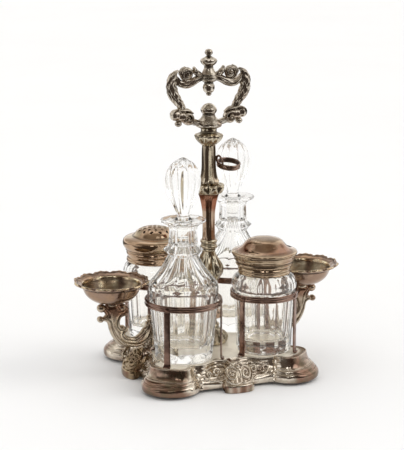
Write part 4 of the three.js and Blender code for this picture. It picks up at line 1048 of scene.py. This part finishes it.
collar = prof([(21.6, 91), (22.2, 91.3), (22.4, 92.0), (22.0, 92.8, 1), (22.2, 93.6), (21.9, 94.4, 1), (22.5, 95.0), (22.6, 96.0), (22.1, 97.2, 1), (20.9, 97.2, 1), (20.9, 91, 1), (21.6, 91)], 0.35)[:-1]
make("jar_fr_collar", Piece().add(turned(collar, 160, loop=True, c=FRC), 0.15), LID, "mustard_jar", ["jar_fr_collar"], "copper_plate")
collar = prof([(24, 91), (24.7, 91.5), (24.9, 92.8), (24.6, 94.0), (24.0, 94.8, 1), (23.9, 96.0), (24.2, 97.2, 1), (24.8, 98.0), (25.0, 99.2), (24.6, 100.3, 1), (20.9, 100.3, 1), (20.9, 91, 1), (24, 91)], 0.35)[:-1]
make("jar_bl_collar", Piece().add(turned(collar, 160, loop=True, c=BLC), 0.4), GOLDEN, "caster_jar", ["jar_bl_collar"], "copper_plate")

plain = prof([
    (0, 121.3), (5, 121.25), (9.6, 121.0), (13.0, 120.3), (15.4, 118.9), (17.2, 116.9), (19.2, 114.5), (21.8, 112.5), (24.6, 111.3), (27.0, 110.6), (27.9, 110.0), (28.2, 109.2), (28.0, 108.5, 1),
    (27.2, 108.0, 1), (27.3, 107.3), (26.9, 106.6, 1), (26.2, 105.6), (25.8, 104.4, 1), (26.0, 103.8), (25.5, 103.0, 1), (24.4, 101.8), (24.3, 100.6, 1), (24.6, 99.9), (24.2, 99.0), (23.0, 97.9), (22.4, 97.6, 1),
    (17.7, 97.6, 1), (17.7, 94, 1), (16.9, 94, 1), (16.9, 98.5, 1), (21.4, 98.8), (22.9, 101), (25.4, 105.6), (26.0, 107.4), (25.2, 109.2), (22.4, 110.6), (17.4, 114.6), (15.6, 117.2), (13.4, 118.9), (8.8, 119.8), (0, 120)], 0.45)
make("jar_fr_lid", Piece().add(turned(plain, 200, c=FRC), lambda V: np.interp(V[:, 2], [97, 101, 104, 108, 110, 111.5, 117, 121], [0.1, 0.1, 0.2, 0.4, 0.35, 0.82, 0.84, 0.62])), LID, "mustard_lid", ["jar_fr_lid"], "copper_plate")

# pierced lid: the dome is a sheet with real holes, the rest is turned
DOME_R = 16.6
out_prof = prof([(0, 121.4), (6, 121.1), (11.4, 120), (14.2, 118.7), (16.4, 116.9), (17.6, 115.2)], 0.5)
in_prof = prof([(0, 120.1), (5.8, 119.8), (10.8, 118.6), (13.4, 117.4), (15.4, 115.7), (17.0, 113.4)], 0.5)


def pierced(c):
    loops = []

    def ring(cx, cy, rx, ry, ang, n=14):
        t = np.arange(n) / n * TAU
        x, y = rx * np.cos(t), ry * np.sin(t)
        return np.stack([cx + x * math.cos(ang) - y * math.sin(ang), cy + x * math.sin(ang) + y * math.cos(ang)], 1)

    n = 120
    t = np.arange(n) / n * TAU
    rim = np.stack([DOME_R * np.cos(t), DOME_R * np.sin(t)], 1)
    loops.append(ring(0, 0, 1.0, 1.0, 0))
    for i in range(6):
        a = i / 6 * TAU + 0.2
        loops.append(ring(4.8 * math.cos(a), 4.8 * math.sin(a), 1.6, 1.15, a))
    for i in range(10):
        a = i / 10 * TAU + 0.1
        loops.append(ring(9.4 * math.cos(a), 9.4 * math.sin(a), 1.5, 1.25, a + 0.6))
    for i in range(12):
        a = i / 12 * TAU
        loops.append(ring(13.9 * math.cos(a), 13.9 * math.sin(a), 1.75, 1.0, a + (0.7 if i % 2 else -0.7)))
    for i in range(12):
        a = (i + 0.5) / 12 * TAU
        loops.append(ring(11.7 * math.cos(a), 11.7 * math.sin(a), 0.6, 0.6, a, 10))
    step = 0.6
    gx, gy = np.meshgrid(np.arange(-DOME_R, DOME_R, step), np.arange(-DOME_R, DOME_R, step * 0.87))
    gx[1::2] += step / 2
    g = np.stack([gx.ravel(), gy.ravel()], 1)
    g = g[np.hypot(g[:, 0], g[:, 1]) < DOME_R - 0.3]
    for lp in loops:
        g = g[~inside(g, lp)]
        g = g[edge_distance(g, lp) > 0.22]
    allp, edges, start = [rim], [(i, (i + 1) % n) for i in range(n)], n
    for lp in loops:
        k = len(lp)
        allp.append(lp)
        edges += [(start + i, start + (i + 1) % k) for i in range(k)]
        start += k
    nb = start
    pts = np.vstack(allp + [g])
    res = delaunay_2d_cdt([Vector(p) for p in pts], edges, [], 0, 1e-6)
    pts = np.array([(v.x, v.y) for v in res[0]])
    tri = np.array([f for f in res[2] if len(f) == 3])
    mid_ = pts[tri].mean(1)
    keep = inside(mid_, rim)
    for lp in loops:
        keep &= ~inside(mid_, lp)
    tri = tri[keep]
    r = np.hypot(pts[:, 0], pts[:, 1])
    zo = np.interp(r, out_prof[:, 0], out_prof[:, 1])
    zi = np.interp(r, in_prof[:, 0], in_prof[:, 1])
    near = np.full(len(pts), 1e9)
    for lp in loops:
        near = np.minimum(near, edge_distance(pts, lp))
    zo = zo + 0.16 * np.exp(-((near - 0.55) / 0.35) ** 2) - 0.14 * np.exp(-(near / 0.2) ** 2)
    m = len(pts)
    V = np.vstack([np.column_stack([pts, zo]), np.column_stack([pts, zi])])
    V[:, 0] += c[0]
    V[:, 1] += c[1]
    T = np.vstack([tri, tri[:, ::-1] + m])
    e = np.vstack([tri[:, [0, 1]], tri[:, [1, 2]], tri[:, [2, 0]]])
    key = e[:, 0] * m + e[:, 1]
    rev = e[:, 1] * m + e[:, 0]
    border = e[~np.isin(key, rev)]
    walls = np.stack([border[:, 1], border[:, 0], border[:, 0] + m, border[:, 1] + m], 1)
    return oriented(V, [walls, T])


skirt = prof([
    (16.3, 117.2), (16.8, 116.6), (17.6, 115.4), (18.4, 114.2), (19.4, 113.4, 1), (21.6, 113.1), (24.6, 112.5), (26.8, 111.4), (27.8, 110.0), (28.1, 108.2), (28.0, 106.4), (27.4, 104.8), (26.4, 103.2), (25.6, 102.4, 1), (25.8, 101.8), (25.4, 101.0), (24.6, 100.6, 1),
    (20.4, 100.6, 1), (20.4, 97.7, 1), (19.6, 97.7, 1), (19.6, 101.5, 1), (23, 101.8), (26.0, 105.0), (26.6, 107.6), (25.8, 109.8), (23.8, 111.2), (19.4, 112.2), (17.2, 113.2), (16.3, 114.6, 1), (16.3, 117.2, 1)], 0.45)[:-1]
lp = Piece().add(turned(skirt, 200, loop=True, c=BLC), lambda V: np.interp(V[:, 2], [97, 101, 104, 108, 111, 117, 121], [0.3, 0.3, 0.35, 0.45, 0.5, 0.35, 0.25]))
lp.add(pierced(BLC), 0.3)
make("jar_bl_lid", lp, GOLDEN, "caster_lid", ["jar_bl_lid"], "copper_plate")

# ---------------------------------------------------------------- hidden hardware keeps its CAD shape
for n in ("tie_rod", "tie_nut", "arm_screw_left", "arm_screw_right"):
    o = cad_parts[n]
    o.data.materials.clear()
    o.data.materials.append(STEEL)

# ---------------------------------------------------------------- floor, light, camera


def floor():
    m, nt, b = graph("floor")
    v = coords(nt)
    put(nt, b.inputs["Base Color"], mix(nt, noise(nt, v, 3.0, 4), (0.915, 0.91, 0.90), (0.945, 0.94, 0.935)))
    put(nt, b.inputs["Roughness"], ramp(nt, noise(nt, v, 20, 3), 0.3, 0.7, 0.55, 0.75))
    b.inputs["Specular IOR Level"].default_value = 0.25
    bp = nt.nodes.new("ShaderNodeBump")
    bp.inputs["Strength"].default_value = 0.03
    bp.inputs["Distance"].default_value = 0.001
    put(nt, bp.inputs["Height"], noise(nt, v, 180, 4))
    nt.links.new(bp.outputs[0], b.inputs["Normal"])
    # polished metal sees the pale sweep end a short way in front of the object and behind it
    ahead = nt.nodes.new("ShaderNodeVectorMath")
    ahead.operation = "DOT_PRODUCT"
    nt.links.new(v, ahead.inputs[0])
    ahead.inputs[1].default_value = (-math.sin(YAW), -math.cos(YAW), 0)
    edge = ramp(nt, calc(nt, "ADD", ahead.outputs["Value"], calc(nt, "MULTIPLY", noise(nt, v, 6, 2), 0.10, False), False), 0.15, 0.27)
    edge = calc(nt, "MAXIMUM", edge, ramp(nt, ahead.outputs["Value"], -0.26, -0.42, 0.0, 0.9))
    lp = nt.nodes.new("ShaderNodeLightPath")
    dim = nt.nodes.new("ShaderNodeBsdfDiffuse")
    dim.inputs["Color"].default_value = (0.055, 0.042, 0.034, 1)
    both_ = nt.nodes.new("ShaderNodeMixShader")
    bent = calc(nt, "LESS_THAN", lp.outputs["Transmission Depth"], 0.5)
    put(nt, both_.inputs[0], calc(nt, "MULTIPLY", calc(nt, "MULTIPLY", lp.outputs["Is Glossy Ray"], bent), edge))
    nt.links.new(b.outputs[0], both_.inputs[1])
    nt.links.new(dim.outputs[0], both_.inputs[2])
    nt.links.new(both_.outputs[0], [n for n in nt.nodes if n.type == "OUTPUT_MATERIAL"][0].inputs[0])
    me = bpy.data.meshes.new("floor")
    g = np.concatenate([-np.geomspace(0.2, 16, 16)[::-1], [0], np.geomspace(0.2, 16, 16)])
    vs = [(x, y, -0.0002) for y in g for x in g]
    k = len(g)
    me.from_pydata(vs, [], [(j * k + i, j * k + i + 1, (j + 1) * k + i + 1, (j + 1) * k + i) for j in range(k - 1) for i in range(k - 1)])
    me.materials.append(m)
    ob = bpy.data.objects.new("floor", me)
    bpy.context.scene.collection.objects.link(ob)


YAW, PITCH = math.radians(20.788), math.radians(12.867)
floor()
DIST = 1.40047
AIM = Vector((0, 0, 0.1275))
BACK = Vector((-math.sin(YAW) * math.cos(PITCH), -math.cos(YAW) * math.cos(PITCH), math.sin(PITCH)))

w = bpy.data.worlds.new("studio")
bpy.context.scene.world = w
w.use_nodes = True
nt = w.node_tree
nt.nodes.clear()
out = nt.nodes.new("ShaderNodeOutputWorld")
bg = nt.nodes.new("ShaderNodeBackground")
nt.links.new(bg.outputs[0], out.inputs[0])
tc = nt.nodes.new("ShaderNodeTexCoord")
dirv = tc.outputs["Generated"]


def dot(v):
    n = nt.nodes.new("ShaderNodeVectorMath")
    n.operation = "DOT_PRODUCT"
    nt.links.new(dirv, n.inputs[0])
    n.inputs[1].default_value = v
    return n.outputs["Value"]


ch = Vector((-math.sin(YAW), -math.cos(YAW), 0))
rt = Vector((math.cos(YAW), -math.sin(YAW), 0))


def times(a, b):
    return calc(nt, "MULTIPLY", a, b, False)


# what polished metal sees: white sweep behind, above and to the sides, a dim room behind the camera
room = ramp(nt, dot(ch * 0.82 + Vector((0, 0, 0.57))), 0.26, 0.60)
cloud = ramp(nt, noise(nt, dirv, 2.0, 2, 0.4), 0.42, 0.62)
metal_sees = mix(nt, times(cloud, 0.7), (1.25, 1.23, 1.20), (0.34, 0.30, 0.25))
above = ramp(nt, dot((0, 0, 1)), 0.50, 0.88)
metal_sees = mix(nt, room, metal_sees, mix(nt, above, (0.085, 0.066, 0.054), (0.36, 0.32, 0.27)))


def window(azimuth, elevation, size, strength):
    a, e = math.radians(azimuth), math.radians(elevation)
    d = (ch * math.cos(a) + rt * math.sin(a)) * math.cos(e) + Vector((0, 0, math.sin(e)))
    return times(ramp(nt, dot(d), math.cos(math.radians(size)), math.cos(math.radians(size * 0.7))), strength)


glow = calc(nt, "ADD", window(-9, 36, 6, 3.5), window(12, 38, 5, 3.0), False)
glow = calc(nt, "ADD", glow, window(62, 34, 20, 1.5), False)
glow = calc(nt, "ADD", glow, window(-58, 20, 13, 0.8), False)
add = nt.nodes.new("ShaderNodeMix")
add.data_type = "RGBA"
add.blend_type = "ADD"
add.inputs["Factor"].default_value = 1.0
nt.links.new(metal_sees, add.inputs[6])
nt.links.new(glow, add.inputs[7])
# what light bent by the glass sees: white behind the object, greyer away from it
side = ramp(nt, dot(-ch), 0.45, -0.25)
glass_sees = mix(nt, side, (1.08, 1.075, 1.06), (0.86, 0.85, 0.82))
path = nt.nodes.new("ShaderNodeLightPath")
colour = mix(nt, path.outputs["Is Transmission Ray"], (0.87, 0.87, 0.87), glass_sees)
inside_glass = calc(nt, "GREATER_THAN", path.outputs["Transmission Depth"], 0.5)
polished = calc(nt, "SUBTRACT", path.outputs["Is Glossy Ray"], inside_glass)
colour = mix(nt, calc(nt, "MULTIPLY", inside_glass, path.outputs["Is Glossy Ray"]), colour, glass_sees)
colour = mix(nt, polished, colour, add.outputs[2])
colour = mix(nt, path.outputs["Is Camera Ray"], colour, (0.985, 0.98, 0.975))
nt.links.new(colour, bg.inputs["Color"])
bg.inputs["Strength"].default_value = 1.0


def lamp(name, kind, loc, aim, power, size, tint=(1, 1, 1)):
    d = bpy.data.lights.new(name, kind)
    if kind == "SUN":
        d.angle = math.radians(size)
    else:
        d.shape = "RECTANGLE"
        d.size, d.size_y = size
    d.energy = power
    d.color = tint
    o = bpy.data.objects.new(name, d)
    o.location = loc
    o.visible_glossy = False
    o.rotation_mode = "QUATERNION"
    o.rotation_quaternion = (Vector(aim) - Vector(loc)).to_track_quat("-Z", "Y")
    bpy.context.scene.collection.objects.link(o)
    return o


lamp("key", "SUN", rt * 1.3 + ch * 0.1 + Vector((0, 0, 1.0)), (0, 0, 0), 0.85, 38, (1.0, 0.985, 0.965))
lamp("fill", "SUN", -rt * 0.3 - ch * 0.5 + Vector((0, 0, 1.6)), (0, 0, 0), 0.25, 60)

cam = bpy.data.cameras.new("camera")
cam.sensor_width = 36
cam.sensor_fit = "AUTO"
cam.lens = 1620.08 / 450 * 36
cam.shift_x = -(208.735 - 202) / 450
cam.clip_start, cam.clip_end = 0.05, 60
co = bpy.data.objects.new("camera", cam)
co.location = AIM + BACK * DIST
co.rotation_euler = (math.pi / 2 - PITCH, 0, -YAW)
bpy.context.scene.collection.objects.link(co)
bpy.context.scene.camera = co

sc = bpy.context.scene
sc.view_settings.view_transform = "Standard"
sc.view_settings.look = "None"
sc.cycles.use_denoising = True
sc.cycles.max_bounces = 16
sc.cycles.transmission_bounces = 14
sc.cycles.glossy_bounces = 6
sc.cycles.diffuse_bounces = 3
sc.cycles.sample_clamp_indirect = 4.0
